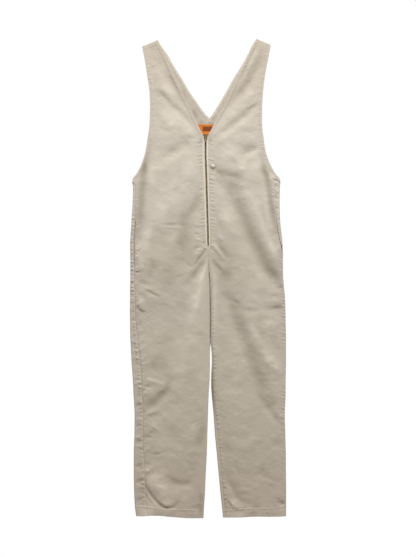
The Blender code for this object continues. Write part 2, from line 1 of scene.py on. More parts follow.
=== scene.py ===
"""Looks of sleeveless zip-front work overalls in ecru cotton twill, laid flat with the front up.

Every size is in millimetres until a mesh is made. +X is the left side of the wearer, +Y runs from
the hems to the straps and +Z is up, away from the floor that the back rests on. Each panel is a
thin wall on the form of its solid: the same tables of edges, turns and folds, with finer creases,
puckers along the stitching and a felled or turned edge added.
"""

import logging
import math
from dataclasses import dataclass
from enum import Enum
from functools import cache
from typing import Any, NamedTuple, Sequence

import bmesh
import bpy
import numpy as np
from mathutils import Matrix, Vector


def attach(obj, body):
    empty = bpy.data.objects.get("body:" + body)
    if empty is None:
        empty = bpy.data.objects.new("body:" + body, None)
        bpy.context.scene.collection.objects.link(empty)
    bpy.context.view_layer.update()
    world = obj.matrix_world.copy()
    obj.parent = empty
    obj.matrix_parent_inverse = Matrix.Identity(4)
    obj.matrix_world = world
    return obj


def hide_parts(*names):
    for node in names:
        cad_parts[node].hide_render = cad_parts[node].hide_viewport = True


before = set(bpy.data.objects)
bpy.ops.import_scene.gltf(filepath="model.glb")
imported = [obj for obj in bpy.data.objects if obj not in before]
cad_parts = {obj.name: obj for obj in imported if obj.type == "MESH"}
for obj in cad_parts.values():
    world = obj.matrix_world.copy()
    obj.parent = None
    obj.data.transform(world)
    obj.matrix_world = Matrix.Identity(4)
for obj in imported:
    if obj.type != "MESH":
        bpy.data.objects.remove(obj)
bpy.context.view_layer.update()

logging.basicConfig(level=logging.INFO, format="%(message)s")
LOG = logging.getLogger("overalls")

Array = np.ndarray
Point = tuple[float, float]
Colour = tuple[float, float, float]
Mesh = bpy.types.Mesh
Object = bpy.types.Object
Tree = bpy.types.NodeTree
Socket = bpy.types.NodeSocket

MM = 0.001


class Swell(NamedTuple):
    """A soft ridge beside a line, or a trough or a darker stretch where its height is less than 0."""
    height: float
    place: float
    half_width: float

    def at(self, distance: Any) -> Any:
        """Its height at a distance from the line."""
        return self.height * hump(distance - self.place, self.half_width)


class Ramp(NamedTuple):
    """A smooth step from 0 to 1: where it starts, and its run, less than 0 for one that goes down."""
    start: float
    run: float

    def at(self, place: Any) -> Any:
        """The share of the step that is made at a place."""
        return ease((place - self.start) / self.run)


# ---- Cloth and seams ----
CLOTH = 1.2  # wall of a panel
SEAM_GAP = 0.32  # between the edges of two panels at a seam
LAY_GAP = 0.3  # between a piece and the one it lies on
ARMHOLE_INSET = 3.0  # the back armhole lies this far inside the front one

# ---- Landmarks along the length ----
UNDERARM_Y = 280.0
UNDERARM_BLEND = 26.0
CROTCH_Y = 2.0
CROTCH_BLEND = 44.0
ZIP_END_Y = 94.0
BACK_NECK_Y = 464.0
SHOULDER_SLOPE_END = 540.0
HEM_SLOPE_START = -600.0
HEM_FINE_Y = -640.0  # rows are closer below this
HEM_Y = -689.5
HEM_DROP = 6.0
SHOULDER_RADIUS = 2.0
POCKET_TOP_Y = 177.0
POCKET_BOTTOM_Y = 22.0
POCKET_OPENING = 1.4
POCKET_END_RUN = 24.0
SIDE_FOLD = Ramp(UNDERARM_Y + UNDERARM_BLEND / 2.0, -UNDERARM_BLEND)
INSEAM_FOLD = Ramp(CROTCH_Y + CROTCH_BLEND / 2.0, -CROTCH_BLEND)
HEM_SLOPE = Ramp(HEM_SLOPE_START, HEM_Y - HEM_SLOPE_START)
POCKET_TOP = Ramp(POCKET_TOP_Y, -POCKET_END_RUN)
POCKET_END = Ramp(POCKET_BOTTOM_Y, POCKET_END_RUN)
ZIP_CLOSING = Ramp(ZIP_END_Y - 40.0, 140.0)  # where the loft follows the zip's opening
FIRST_STEP = 0.4
EDGE_LIP = 0.16  # how far an edge is drawn in
SHOULDER_ROWS = (0.6, 0.85, 1.2, 1.6, 2.0, 2.4, 2.8)


class Section(NamedTuple):
    """Outer edge of the right half at a height, its edge towards the centre, and the left half's."""
    y: float
    right_side: float
    right_centre: float
    left_centre: float
    left_side: float


SECTIONS = [Section(*row) for row in (
    (696, -196, -148, 141, 185),
    (684, -193.5, -144.5, 135, 182.5),
    (660, -188.5, -133, 123.5, 179),
    (620, -181, -114, 104.5, 171),
    (580, -175, -96.5, 85.5, 164),
    (540, -169.5, -76.5, 66, 159.5),
    (500, -168, -56.5, 47, 157),
    (460, -169, -36.5, 24, 156.5),
    (430, -171.5, -22.5, 9, 158),
    (415, -174, -15, 1.5, 160),
    (372, -180.5, -16, 1.5, 166.5),
    (330, -193.5, -14.5, 2.5, 181),
    (305, -206.5, -13.5, 3, 195),
    (283, -220, -12.5, 3.5, 210),
    (262, -217.5, -12, 4, 208),
    (220, -218.5, -10, 5, 207.5),
    (170, -221.5, -8.5, 6, 209),
    (123, -224.5, -6.5, 7, 214),
    (103, -225.5, -5.5, 6.5, 216),
    (94, -225.5, 0.8, 1.12, 216.5),
    (48, -225, 1.9, 2.22, 217),
    (10, -225, 3.4, 3.74, 217.5),
    (-19, -225.6, 4.7, 5.3, 220),
    (-62, -226, 5.8, 6.9, 223.5),
    (-120, -226, 6.2, 7.5, 225),
    (-186, -224.5, 6.0, 8.0, 226),
    (-200, -223.6, 5.6, 9.2, 226),
    (-222, -222.6, 5.6, 10.8, 226),
    (-244, -221.5, 5.6, 11.2, 226),
    (-264, -220, 5.3, 10.2, 225.6),
    (-290, -218.3, 4.7, 9.3, 225.3),
    (-310, -217, 3.4, 9.2, 225),
    (-329, -216.3, 2.3, 10.2, 225),
    (-393, -213, 0, 16, 222.8),
    (-450, -213.5, -1.8, 20, 224),
    (-503, -215, -3.3, 25, 225.5),
    (-573, -215, -6.8, 31.5, 226),
    (-619, -214, -8.6, 35.8, 226.5),
    (-654, -212.5, -11, 39.5, 226.5),
    (-696, -207.5, -13, 43.5, 226.5),
)]


class BackCentre(NamedTuple):
    """Edge of each back panel towards the centre: the back neck, then the centre seam."""
    y: float
    right: float
    left: float


BACK_CENTRES = [BackCentre(*row) for row in (
    (696, -148, 141),
    (674, -136, 127.5),
    (651, -119, 116),
    (620, -101.5, 99),
    (580, -76.5, 74),
    (541, -53.5, 52.5),
    (518, -37.5, 39),
    (495, -21.5, 25),
    (475, -6, 12.5),
    (464, 3.6, 4.2),
    (283, 3.4, 3.9),
    (94, 3, 3.5),
    (-19, 4.4, 5.6),
)]


class Turn(NamedTuple):
    """Where a seam lies, along the cloth from the fold at the edge: more than 0 is on the front."""
    y: float
    right_side: float
    right_inseam: float
    left_inseam: float
    left_side: float


TURNS = [Turn(*row) for row in (
    (290, 8, -12, 5, 14),
    (250, 8.5, -12, 5, 15),
    (207, 9, -12, 5, 13.5),
    (178, 11, -12, 5, 12.5),
    (150, 13.5, -12, 5, 12),
    (115, 13.5, -12, 5, 10.5),
    (88, 13.5, -12, 5, 5),
    (50, 13.5, -12, 5, 1.5),
    (0, 14.5, -12, 5, 0.5),
    (-115, 18.5, -11, 5, -1),
    (-196, 24, -10, 5.5, -1.5),
    (-260, 27, -10, 6, 0),
    (-376, 27.5, -11, 8, 0.5),
    (-470, 28, -12, 11, -1),
    (-560, 34, -13, 10.5, -2),
    (-694, 36, -15, 10, -3),
)]


class Rise(NamedTuple):
    """How high the top of the cloth lies at each edge, and how far it rises between them."""
    y: float
    side: float
    centre: float
    loft: float


RISES = [Rise(*row) for row in (
    (696, 4, 4.2, 0),
    (620, 3.8, 4.2, 1.6),
    (520, 3.8, 4.3, 3.6),
    (460, 3.8, 4.8, 4.6),
    (415, 3.9, 5.5, 5.2),
    (372, 4.1, 5.6, 5.6),
    (330, 4.5, 5.6, 5.9),
    (283, 5.2, 5.6, 6.3),
    (230, 5.9, 5.6, 6.7),
    (150, 6.4, 5.6, 7),
    (94, 6.4, 5.6, 7),
    (-19, 6.2, 6, 7),
    (-207, 5.8, 6, 7),
    (-450, 5.6, 5.6, 6),
    (-654, 5.4, 5.4, 3.5),
    (-694, 5.2, 5.2, 2),
)]
LOFT_RUN = 34.0  # how quickly the cloth rises from an edge
FOLD_RUN = 30.0  # how quickly a large fold grows from an edge
CREASE_RUN = 12.0  # how quickly a crease grows from an edge
CREASE_AT_EDGE = 0.3  # share of a crease that is left at an edge
CREASE_SHARE = 0.65  # how much of its height a fine crease keeps in washed cloth
UNDERSIDE_SHADE_SHARE = 0.7  # how much of the creases' painted light and shade is kept on the back, which lies flat
FOLD_END_SHARE = 0.4  # share of a large fold that is left at its ends
CREASE_UNEVEN = 0.3  # how much a crease's depth and width change along it
CREASE_REACH = 3.6  # how far a crease still counts, in half widths
CREASE_SEED = 100  # its seed is its number past this
CREASE_KNOTS = 6  # places along it where its depth and width are drawn
WIDTH_UNEVEN = 0.8  # share of its unevenness that its width has
LEAN_UNEVEN = 1.2  # and the difference between its sides
TICK_COUNT = 400
TICK_JITTER = 0.25  # how far a small ridge lies off its place, in pitches
TICK_LEAST = 0.3  # least strength of one
TICK_WIDTH = 0.27  # its half width, in pitches
CREASE_TAPER = 0.45  # share of its length over which a crease fades at each end


class Crease(NamedTuple):
    """A soft trough or ridge of the front: the points it passes, its half width, its height (a
    trough is less than 0), and its tone: painted light and shade along it."""
    path: tuple[Point, ...]
    half_width: float
    height: float
    tone: float = 0.0


def creases_of(rows: Sequence[Any]) -> list[Crease]:
    """Creases from rows of a path as x, y, x, y and so on, and then the crease's other values."""
    return [Crease(tuple(zip(path[::2], path[1::2])), *others) for path, *others in rows]


# The largest folds, as deep as in the solids.
FOLDS = creases_of((
    ((-142, 532, -116, 510, -62, 462, -28, 416), 12, -1.6, -0.08),  # right strap to the zip's top
    ((-30, 412, -107, 364, -154, 335), 17, -2, -0.02),  # right chest
    ((164, 658, 132, 600, 106, 554, 62, 506), 14, -2.4, -0.26),  # left strap
    ((12, 405, 58, 433, 98, 465, 140, 497), 12, -2.2, -0.08),  # left chest
    ((-172, 396, -184, 330, -192, 260, -198, 180, -206, 116), 12, -2.5, -0.28),  # right flank
    ((154, 352, 172, 280, 184, 200, 196, 128), 9, -2.4, -0.27),  # left flank
    ((18, 266, 66, 264, 112, 262), 16, -1.4, -0.06),  # across below the left chest
    ((60, 284, 88, 205, 123, 114, 156, 48, 186, -2, 220, -48), 23, -4.5, -0.05),
    ((60, 286, 76, 236, 106, 160, 138, 92, 170, 36, 212, -12), 19, -0.8, -0.16),
    ((-22, 246, -38, 206, -60, 178), 12, -1.8, -0.2),  # right of the zip
    ((-5, 60, -18, 38, -35, 14, -54, -10), 11, -2.0, -0.2),  # from the end of the zip
    ((-10, 22, -20, -26, -32, -76, -45, -124), 13, 2.4, 0.2),  # into the right thigh
    ((58, -60, 78, -114, 98, -176, 124, -246, 150, -310, 184, -366), 20, -4.4, -0.17),
    ((118, -120, 140, -180, 170, -230, 202, -268), 18, 3, 0.06),  # outside that trough
    ((160, -88, 195, -92, 226, -92), 11, -1.4, -0.05),  # left hip pinch
    ((162, -358, 180, -384, 197, -408, 214, -428), 11, -1.8, -0.13),  # left knee
    ((-101, -300, -126, -334, -152, -360, -190, -382), 13, -2.7, -0.19),  # right knee
    ((-130, -390, -170, -412), 12, -0.8, 0.0),  # right calf
    ((-118, -578, -90, -594, -62, -595, -40, -582), 12, -1.8, -0.16),  # right shin
    ((-174, -576, -148, -608, -114, -638), 22, 2.8, 0.16),  # above the right hem
    ((-184, -584, -177, -608, -157, -638, -131, -662, -109, -665, -90, -655, -80, -638),
     5, -1.3, -0.12),  # pouch above the right hem
    ((48, -572, 68, -606, 86, -638, 112, -652), 11, -1.8, -0.06),  # left shin
))

# Finer creases, from the straps down, by where the shaded or lit side of each shows.
CREASES = creases_of((
    # right strap and chest
    ((-136, 626, -108, 584, -88, 540, -62, 490), 11, -1.0, -0.2),
    ((-82, 562, -60, 516), 6, -0.5, -0.17),
    ((-154, 554, -128, 529, -100, 501), 6, -1.1, -0.09),
    ((-158, 580, -120, 548, -90, 520), 12, 1.0, 0.04),
    ((-156, 500, -122, 476, -74, 444), 17, 1.2, 0.2),
    ((-176, 400, -188, 350, -180, 304, -180, 270), 9, -0.7, -0.17),
    ((-96, 406, -56, 408, -28, 414), 9, 0.1, 0.12),
    ((-176, 668, -150, 682), 12, -0.8, -0.1),
    ((-140, 676, -122, 644), 6, -0.6, -0.1),
    ((-154, 634, -130, 620), 12, -0.5, -0.05),
    ((-168, 446, -120, 438, -80, 426), 10, -0.8, -0.09),
    ((-15, 411, -21, 398, -30, 383), 4, -1.0, -0.12),
    ((-120, 384, -92, 370, -64, 376), 10, -0.8, -0.06),
    ((-92, 210, -64, 290, -34, 390), 17, 0.9, 0.1),
    ((-168, 350, -130, 360), 16, 0.9, 0.04),
    ((-176, 285, -146, 280), 14, 0.9, 0.07),
    ((-122, 240, -78, 304), 14, 0.9, 0.08),
    ((-168, 226, -104, 210), 22, 0.9, 0.17),
    # left strap and chest
    ((112, 640, 96, 604, 82, 572), 7, -0.7, -0.12),
    ((110, 606, 130, 638, 150, 674), 10, 0.6, 0.15),
    ((2, 416, 5, 402, 14, 392), 4, -0.8, -0.12),
    ((150, 516, 128, 500, 104, 488), 8, -1.2, -0.06),
    ((46, 470, 86, 482), 12, 1.0, 0.04),
    ((92, 516, 148, 552), 12, 1.0, 0.08),
    ((88, 363, 124, 376, 158, 388), 11, -1.8, -0.13),
    ((128, 468, 156, 478), 7, -0.8, -0.03),
    ((76, 336, 94, 324, 114, 318), 9, 1.0, 0.05),
    ((94, 300, 104, 330, 112, 360), 10, 1.0, 0.09),
    ((108, 352, 150, 358), 9, 0.9, 0.04),
    ((68, 356, 88, 312), 7, -0.7, -0.03),
    ((22, 372, 60, 384, 102, 388), 28, 1.3, 0.19),
    ((140, 340, 162, 310, 184, 282), 12, -1.0, -0.22),
    # right flank and waist
    ((-156, 164, -108, 160, -52, 162), 6, -0.7, -0.11),
    ((-146, 152, -92, 150, -54, 155), 4, 0.4, 0.02),
    ((-132, 146, -84, 145), 3.5, -0.35, -0.02),
    ((-158, 207, -140, 205), 3, 0.4, 0.01),
    ((-112, 112, -56, 95), 8, -0.7, -0.04),
    ((-62, 262, -68, 170, -76, 84, -96, 10), 24, -0.9, -0.21),
    ((-148, 152, -160, 116), 18, 0.2, 0.09),
    ((-150, 60, -110, 30, -120, -20, -160, -50), 24, -0.5, -0.1),
    ((-164, 180, -174, 120, -190, 76, -186, 38), 17, 1.3, 0.25),
    ((-206, 46, -182, 34), 9, 1.4, 0.18),
    ((-212, 82, -198, 64, -186, 42), 10, 0.6, 0.14),
    ((-214, 23, -204, 20, -193, 25), 3.5, -1.5, -0.16),
    ((-180, 28, -150, 20), 9, -0.8, -0.16),
    ((-112, 134, -84, 112), 14, 0.5, 0.1),
    # beside the zip on the right half
    ((-42, 137, -22, 127), 5, -1.0, -0.05),
    ((-38, 118, -18, 114), 4, 0.9, 0.05),
    ((-42, 161, -20, 153), 5, 0.9, 0.04),
    ((-48, 89, -20, 94), 6, -1.0, -0.13),
    ((-34, 83, -16, 88), 4, 1.0, 0.06),
    # left flank
    ((14, 334, 32, 312, 56, 288), 9, -0.6, -0.27),
    ((24, 322, 56, 308, 88, 299, 122, 294), 10, -1.8, -0.3),
    ((58, 284, 96, 276, 124, 278), 8, 0.8, 0.06),
    ((50, 272, 76, 254, 106, 248), 13, -0.6, -0.07),
    ((46, 276, 60, 254, 72, 230), 12, -0.8, -0.08),
    ((10, 296, 22, 280, 34, 258), 9, 0.5, 0.1),
    ((20, 290, 30, 250, 42, 205, 64, 150, 104, 108), 12, 1.2, 0.1),
    ((12, 200, 30, 165, 48, 118), 6, -0.6, -0.06),
    ((114, 268, 130, 225, 153, 165, 174, 112, 196, 62), 14, 1.8, 0.17),
    ((172, 124, 189, 86, 206, 50), 14, 0.8, 0.27),
    ((158, 262, 166, 210, 176, 150, 184, 112), 9, 0.8, 0.1),
    ((136, 64, 166, 39, 196, 14, 224, -18), 14, -0.8, -0.2),
    ((184, 287, 199, 279, 211, 264), 3.5, 1.7, 0.1),
    ((182, 293, 200, 286, 216, 276), 5, -2.4, -0.4),
    ((204, 262, 206, 210, 208, 160), 5, 0.6, 0.09),
    ((176, 250, 186, 200, 200, 120), 6, -1.0, -0.04),
    ((188, 270, 196, 190, 208, 120), 6, 1.0, 0.04),
    ((194, 203, 208, 207), 4, -1.5, -0.07),
    ((194, 266, 207, 246), 4, 1.2, 0.04),
    ((190, 246, 206, 226), 4, -1.0, -0.04),
    ((202, 104, 212, 66), 6, 1.0, 0.06),
    # round the end of the zip
    ((2, 98, -16, 72, -34, 48, -52, 26), 3.8, -1.8, -0.2),
    ((-14, 92, -26, 80, -43, 62), 5, 1.5, 0.16),
    ((-46, 45, -56, 28), 7, -0.8, -0.06),
    ((-16, 100, -11, 92, -4, 87, 8, 88), 2, 1.6, 0.24),
    ((2, 96, 10, 98, 17, 92), 2, 1.3, 0.16),
    ((-1, 76, -3, 46, -12, 12, -27, -30), 5.5, 1.4, 0.2),
    ((10, 92, 16, 80, 25, 68), 3, -1.0, -0.08),
    ((11, 80, 19, 72), 2.5, 1.2, 0.06),
    ((6, 114, 26, 86, 46, 62, 62, 46), 4.2, 1.6, 0.18),
    ((28, 132, 36, 120, 47, 108), 5, 0.8, 0.08),
    ((20, 120, 38, 92, 60, 60), 9, -1.0, -0.26),
    ((44, 82, 60, 60, 72, 36), 13, -0.7, -0.14),
    ((4, 72, 16, 52, 34, 31, 54, 8), 6, -1.2, -0.2),
    ((12, 60, 38, 57, 58, 50), 8, -0.5, -0.12),
    ((42, 40, 58, 8, 68, -14), 16, -0.9, -0.19),
    ((6, 52, 12, 26, 18, 2, 18, -70, 14, -190), 7, 1.2, 0.18),
    ((-38, -24, -50, -62, -58, -92), 13, 0.3, 0.1),
    ((7, 44, 13, 10, 26, -26), 7, 0.5, 0.1),
    ((-18, -40, -32, -88, -46, -130), 18, 0.6, 0.1),
    # right hip and thigh
    ((-214, 0, -186, -9, -148, -18), 8, -1.3, -0.11),
    ((-213, 36, -196, 42), 3.5, -1.1, -0.05),
    ((-188, -24, -150, -30), 6, 0.7, 0.05),
    ((-190, -26, -170, -36, -150, -46, -130, -54), 4.5, -1.6, -0.15),
    ((-216, -40, -176, -42), 8, -0.7, -0.12),
    ((-206, -42, -194, -66, -188, -86), 8, 1.0, 0.13),
    ((-210, -72, -194, -91, -178, -100), 6, -1.7, -0.22),
    ((-166, 68, -160, 42, -150, 14), 12, -1.0, -0.2),
    ((-132, 42, -84, -12), 20, -0.8, -0.09),
    ((-66, -116, -36, -98), 9, 0.4, 0.03),
    ((-166, -68, -120, -74, -82, -85), 8, -0.9, -0.08),
    ((-168, -124, -122, -114), 7, 0.6, 0.04),
    ((-202, -150, -184, -222), 16, 0.7, 0.13),
    ((-176, -214, -128, -200), 9, 0.6, 0.04),
    ((-190, -240, -146, -237, -104, -226), 20, -1.3, -0.19),
    ((-116, -130, -126, -190, -130, -244), 20, -0.6, -0.09),
    ((-116, -262, -110, -316), 10, -0.6, -0.06),
    ((-66, -170, -74, -260, -84, -330), 18, 0.8, 0.08),
    ((-76, -158, -20, -150), 12, 0.4, 0.08),
    ((-158, -180, -106, -173), 10, 0.4, 0.08),
    ((-92, -282, -106, -314, -124, -342), 10, 0.9, 0.09),
    ((-58, -60, -52, -120, -40, -170), 18, 0.3, 0.07),
    # right knee and calf
    ((-188, -286, -154, -293, -124, -304), 7, 1.2, 0.06),
    ((-202, -306, -158, -312), 5, -1.0, -0.06),
    ((-188, -396, -162, -392, -140, -383), 6, -0.9, -0.08),
    ((-126, -348, -76, -364), 10, -0.7, -0.04),
    ((-176, -416, -152, -430, -132, -452), 5, 1.1, 0.06),
    ((-178, -437, -148, -448), 6, -1.0, -0.07),
    ((-184, -450, -158, -462), 6, -1.0, -0.05),
    ((-175, -499, -148, -507, -119, -495), 4.5, -0.8, -0.05),
    ((-192, -526, -158, -541), 5, -0.8, -0.06),
    ((-194, -544, -163, -557), 6, 0.9, 0.07),
    ((-154, -620, -124, -642, -92, -638), 13, 1.4, 0.14),
    ((-104, -610, -80, -624), 8, 0.8, 0.05),
    ((-186, -608, -172, -640, -158, -656), 3.5, -1.1, -0.06),
    ((-8, -392, -22, -455, -42, -506), 14, -0.8, -0.17),
    ((-24, -580, -28, -650), 14, -0.5, -0.07),
    ((-152, -440, -112, -486), 26, 0.3, 0.12),
    ((-176, -562, -140, -570, -104, -566), 10, 0.8, 0.15),
    ((-206, -632, -150, -676), 26, 0.2, 0.17),
    ((-182, -612, -168, -640), 7, 0.5, 0.1),
    ((-140, -640, -100, -650), 12, 0.6, 0.12),
    ((-112, -622, -78, -632, -40, -630), 10, 0.7, 0.16),
    ((-16, -652, -14, -700), 9, -0.3, -0.3),
    ((-64, -516, -38, -562), 12, -0.8, -0.07),
    ((-46, -448, -3, -390), 5, -0.6, -0.02),
    ((-62, -660, -14, -654), 9, -1.1, -0.12),
    ((-20, -606, -16, -694), 12, -0.4, -0.17),
    ((-204, -672, -152, -680), 12, 0.2, 0.15),
    ((-110, -688, -60, -688), 8, 0.2, 0.12),
    # the strip of the right back beside the side seam
    ((-217, -429, -188, -420), 6, -1.5, -0.06),
    ((-215, -479, -188, -466), 6, -1.5, -0.06),
    ((-215, -547, -188, -533), 6, -1.5, -0.06),
    ((-215, -594, -184, -576), 6, -1.5, -0.06),
    ((-212, -648, -190, -632), 6, -1.5, -0.06),
    ((-216, -374, -192, -360), 6, -1.5, -0.06),
    # left hip and thigh
    ((96, -30, 150, -12, 192, -16), 22, 1.1, 0.12),
    ((96, -50, 128, -46, 160, -36), 14, 0.7, 0.12),
    ((202, -18, 224, -29), 7, -1.5, -0.1),
    ((170, -43, 214, -47), 7, -1.0, -0.1),
    ((106, -86, 130, -86, 154, -82), 8, -1.1, -0.12),
    ((176, -80, 204, -80, 232, -78), 8, -1.6, -0.2),
    ((154, -62, 219, -61), 6, 0.8, 0.05),
    ((84, -72, 106, -86, 130, -98), 9, -0.7, -0.09),
    ((56, -56, 80, -62, 106, -76), 7, -0.8, -0.11),
    ((146, -115, 184, -124, 218, -117), 14, 1.1, 0.14),
    ((130, -124, 150, -158, 166, -188), 9, -0.8, -0.15),
    ((138, -192, 180, -202), 9, -0.5, -0.09),
    ((58, -135, 108, -134), 8, 0.4, 0.09),
    ((205, -160, 190, -185, 212, -215), 10, -0.8, -0.04),
    ((154, -218, 182, -246, 210, -272), 11, 1.1, 0.13),
    ((64, -272, 92, -308), 24, 0.7, 0.08),
    ((24, -160, 30, -240), 14, 0.7, 0.05),
    ((62, -62, 86, -100), 14, -0.3, -0.1),
    # left knee, calf and shin
    ((126, -296, 150, -332, 188, -364), 16, -1.2, -0.16),
    ((208, -388, 222, -404), 7, 1.2, 0.12),
    ((176, -352, 200, -366), 9, -0.7, -0.06),
    ((42, -462, 56, -484, 82, -504), 16, -0.8, -0.09),
    ((58, -454, 88, -464), 10, 0.9, 0.05),
    ((116, -450, 156, -464), 13, 0.9, 0.06),
    ((60, -492, 112, -494, 164, -494), 15, -0.8, -0.08),
    ((88, -408, 132, -404), 12, 0.4, 0.08),
    ((176, -476, 218, -465), 12, -1.0, -0.08),
    ((136, -546, 174, -546), 12, -0.9, -0.05),
    ((146, -560, 186, -576, 214, -592), 9, -1.1, -0.13),
    ((62, -570, 104, -600), 14, -0.4, -0.08),
    ((58, -535, 88, -572), 11, 0.9, 0.05),
    ((80, -614, 120, -627), 7, -0.9, -0.07),
    ((128, -602, 156, -595), 8, 0.9, 0.07),
    ((54, -624, 72, -652, 108, -664), 10, 1.3, 0.2),
    ((62, -680, 116, -682), 11, 0.2, 0.18),
    ((114, -668, 154, -672), 9, -0.6, -0.12),
    ((40, -586, 49, -624), 9, -0.6, -0.08),
    ((114, -655, 158, -661), 8, -1.0, -0.08),
    ((52, -638, 74, -669), 3, -1.1, -0.04),
    ((58, -632, 82, -665), 3, 0.9, 0.03),
    ((194, -638, 228, -652), 9, -1.9, -0.22),
    ((210, -650, 227, -650), 3, -1.1, -0.06),
))

# Creases of the back inside the neck, below its turned edge.
NECK_CREASES = creases_of((
    ((-20, 466, -10, 458, 2, 449), 3.5, 0.22, 0.06),
    ((-24, 460, -12, 450, -2, 444), 3, -0.2, -0.12),
    ((12, 474, 14, 466, 13, 456), 3, -0.22, -0.2),
    ((16, 488, 28, 474, 40, 458), 3.5, 0.2, 0.05),
    ((-46, 492, -38, 476, -32, 462), 6, -0.2, -0.22),
    ((-28, 456, -18, 446, -8, 440), 5, -0.15, -0.15),
    ((4, 452, 12, 446, 20, 448), 5, -0.15, -0.18),
    ((-4, 447, 6, 446), 4, -0.1, -0.12),
))
SHADE_SHIFT = 0.7  # how far below its shaded or lit side a crease lies, in half widths

# Where the hem's stitching runs on each leg, from its outer edge to its inner one.
HEM_LINES: dict[str, tuple[Point, ...]] = {
    "right": ((-212, -655), (-176, -658), (-111, -665), (-14, -668)),
    "left": ((46, -670), (84, -666), (121, -662), (188, -662), (225, -655)),
}

# How much higher than straight the bottom edge of each leg is, across the leg.
HEM_WAVES: dict[str, tuple[Point, ...]] = {
    "right": ((-210, 1.2), (-190, 1.2), (-166, 4.2), (-140, 4.8), (-110, 2.6), (-80, 1), (-50, 0.2),
              (-14, 1.2)),
    "left": ((44, 3), (66, 2.6), (95, 2), (124, 3.2), (150, 2.8), (180, 1.2), (210, 0.4), (227, 1)),
}


class Edge(Enum):
    """Which long edge of a panel."""
    SIDE = "side"
    CENTRE = "centre"


class Layer(Enum):
    """Which layer of the garment."""
    FRONT = "front"
    BACK = "back"


class Band(NamedTuple):
    """A stitched edge: where it runs, how far in its stitches lie, how much the doubled cloth
    stands up and the stitches draw it in, and its puckers: height, spacing, reach, lean and the
    seed of their unevenness."""
    layer: Layer
    half: str
    edge: Edge
    high_y: float
    low_y: float
    stitch: float
    stand: float
    groove: float
    pucker: float
    pitch: float
    reach: float
    lean: float
    seed: int


BANDS = [Band(*row) for row in (
    (Layer.FRONT, "right", Edge.SIDE, 690, 288, 7.5, 0.4, 0.35, 0.9, 6.0, 4.5, 0.1, 1),
    (Layer.FRONT, "left", Edge.SIDE, 690, 288, 7.5, 0.4, 0.35, 0.9, 6.0, 4.5, 0.1, 2),
    (Layer.FRONT, "right", Edge.CENTRE, 690, 416, 7.5, 0.3, 0.1, 0.15, 9.5, 5.0, 0.1, 3),
    (Layer.FRONT, "left", Edge.CENTRE, 690, 416, 7.5, 0.3, 0.1, 0.15, 9.5, 5.0, 0.1, 4),
    (Layer.FRONT, "right", Edge.CENTRE, 410, 98, 7.0, 0.4, 0.35, 1.0, 9.6, 6.5, -0.25, 5),
    (Layer.FRONT, "left", Edge.CENTRE, 410, 98, 7.0, 0.4, 0.35, 1.0, 9.6, 6.5, -0.25, 6),
    (Layer.FRONT, "left", Edge.CENTRE, 90, 12, 5.0, 0.3, 0.35, 0.5, 12.0, 5.0, -0.4, 7),
    (Layer.FRONT, "right", Edge.SIDE, 268, -650, 5.0, 0.0, 0.1, 0.5, 9.0, 4.5, 0.2, 8),
    (Layer.FRONT, "right", Edge.SIDE, 160, -655, 9.0, 0.0, 0.0, 0.8, 27.0, 11.0, 0.7, 13),
    (Layer.FRONT, "left", Edge.SIDE, 268, -650, 6.0, 0.0, 0.35, 0.7, 9.5, 6.0, 0.5, 9),
    (Layer.FRONT, "left", Edge.CENTRE, -70, -665, 4.0, 0.2, 0.3, 1.1, 11.5, 3.2, 0.2, 10),
    (Layer.BACK, "right", Edge.SIDE, 268, -650, 6.5, 0.2, 0.2, 1.7, 11.7, 3.4, 0.15, 11),
    (Layer.BACK, "right", Edge.SIDE, 160, -655, 11.0, 0.0, 0.0, 0.8, 25.0, 12.0, -0.15, 14),
    (Layer.BACK, "left", Edge.SIDE, 268, 30, 4.0, 0.3, 0.35, 0.8, 9.0, 4.0, 0.8, 12),
)]
BAND_END_RUN = 10.0
BAND_STEP_RUN = 2.0  # how soon the doubled cloth ends past its stitches
GROOVE_WIDTH = 1.3
GATHER_MEAN = 0.8  # how much a seam is gathered
GATHER_CHANGE = 0.5  # how much that changes along it
GATHER_SIZE = 42.0  # how far it stays alike
GATHER_SEED = 60  # past the band's own seed
PUCKER_TONE = 0.08  # painted light on the ridge of a pucker, and painted shade between ridges
PUCKER_MEAN = 0.45  # usual share of a ridge along a row of puckers

SEAM_DIP = Swell(-0.4, 0.0, 2.2)  # how far the cloth dips to a seam
SIDE_DIP_TOP = Ramp(UNDERARM_Y, -20.0)
CENTRE_DIP_TOP = Ramp(56.0, -60.0)

# How much lighter or darker the cloth is painted beside a line: painted shade, and the lighter hems.
SEAM_SHADE = Swell(-0.2, 0.0, 1.8)  # painted shade in the centre seam
SEAM_SHADE_TOP = Ramp(66.0, -36.0)
SEAM_SHADE_END = Ramp(-205.0, 12.0)
MOUTH_SHADE = Swell(-0.5, 0.0, 1.6)  # painted shade in the right pocket mouth
NECK_EDGE_SHADE = Swell(-0.1, 5.0, 6.0)  # painted shade along the front neck edges
NECK_EDGE_SHADE_END = Ramp(430.0, 30.0)
BACK_NECK_SHADE = Swell(-0.42, 0.0, 1.8)  # painted shade on the fold of the back neck
BACK_NECK_SHADE_END = Ramp(440.0, 20.0)
GAP_SHADE = (Swell(-0.42, 0.0, 6.0), Swell(-0.24, 0.0, 14.0))  # painted shade on the left leg, beside the gap
GAP_SPAN = Swell(1.0, -314.0, 80.0)  # where along that leg
SLIDER_SHADE = Swell(-0.22, 0.0, 6.5)  # painted shade round two spots beside the slider
SLIDER_SPOTS = ((-17.0, 402.0), (3.0, 403.0))
SLIDER_SPOT_LENGTH = 0.6  # less than 1 for a spot longer than it is wide
HEM_LIGHTENING = 0.07  # the hems are lighter
HEM_LIGHTENING_TOP = Ramp(1.0, 4.0)

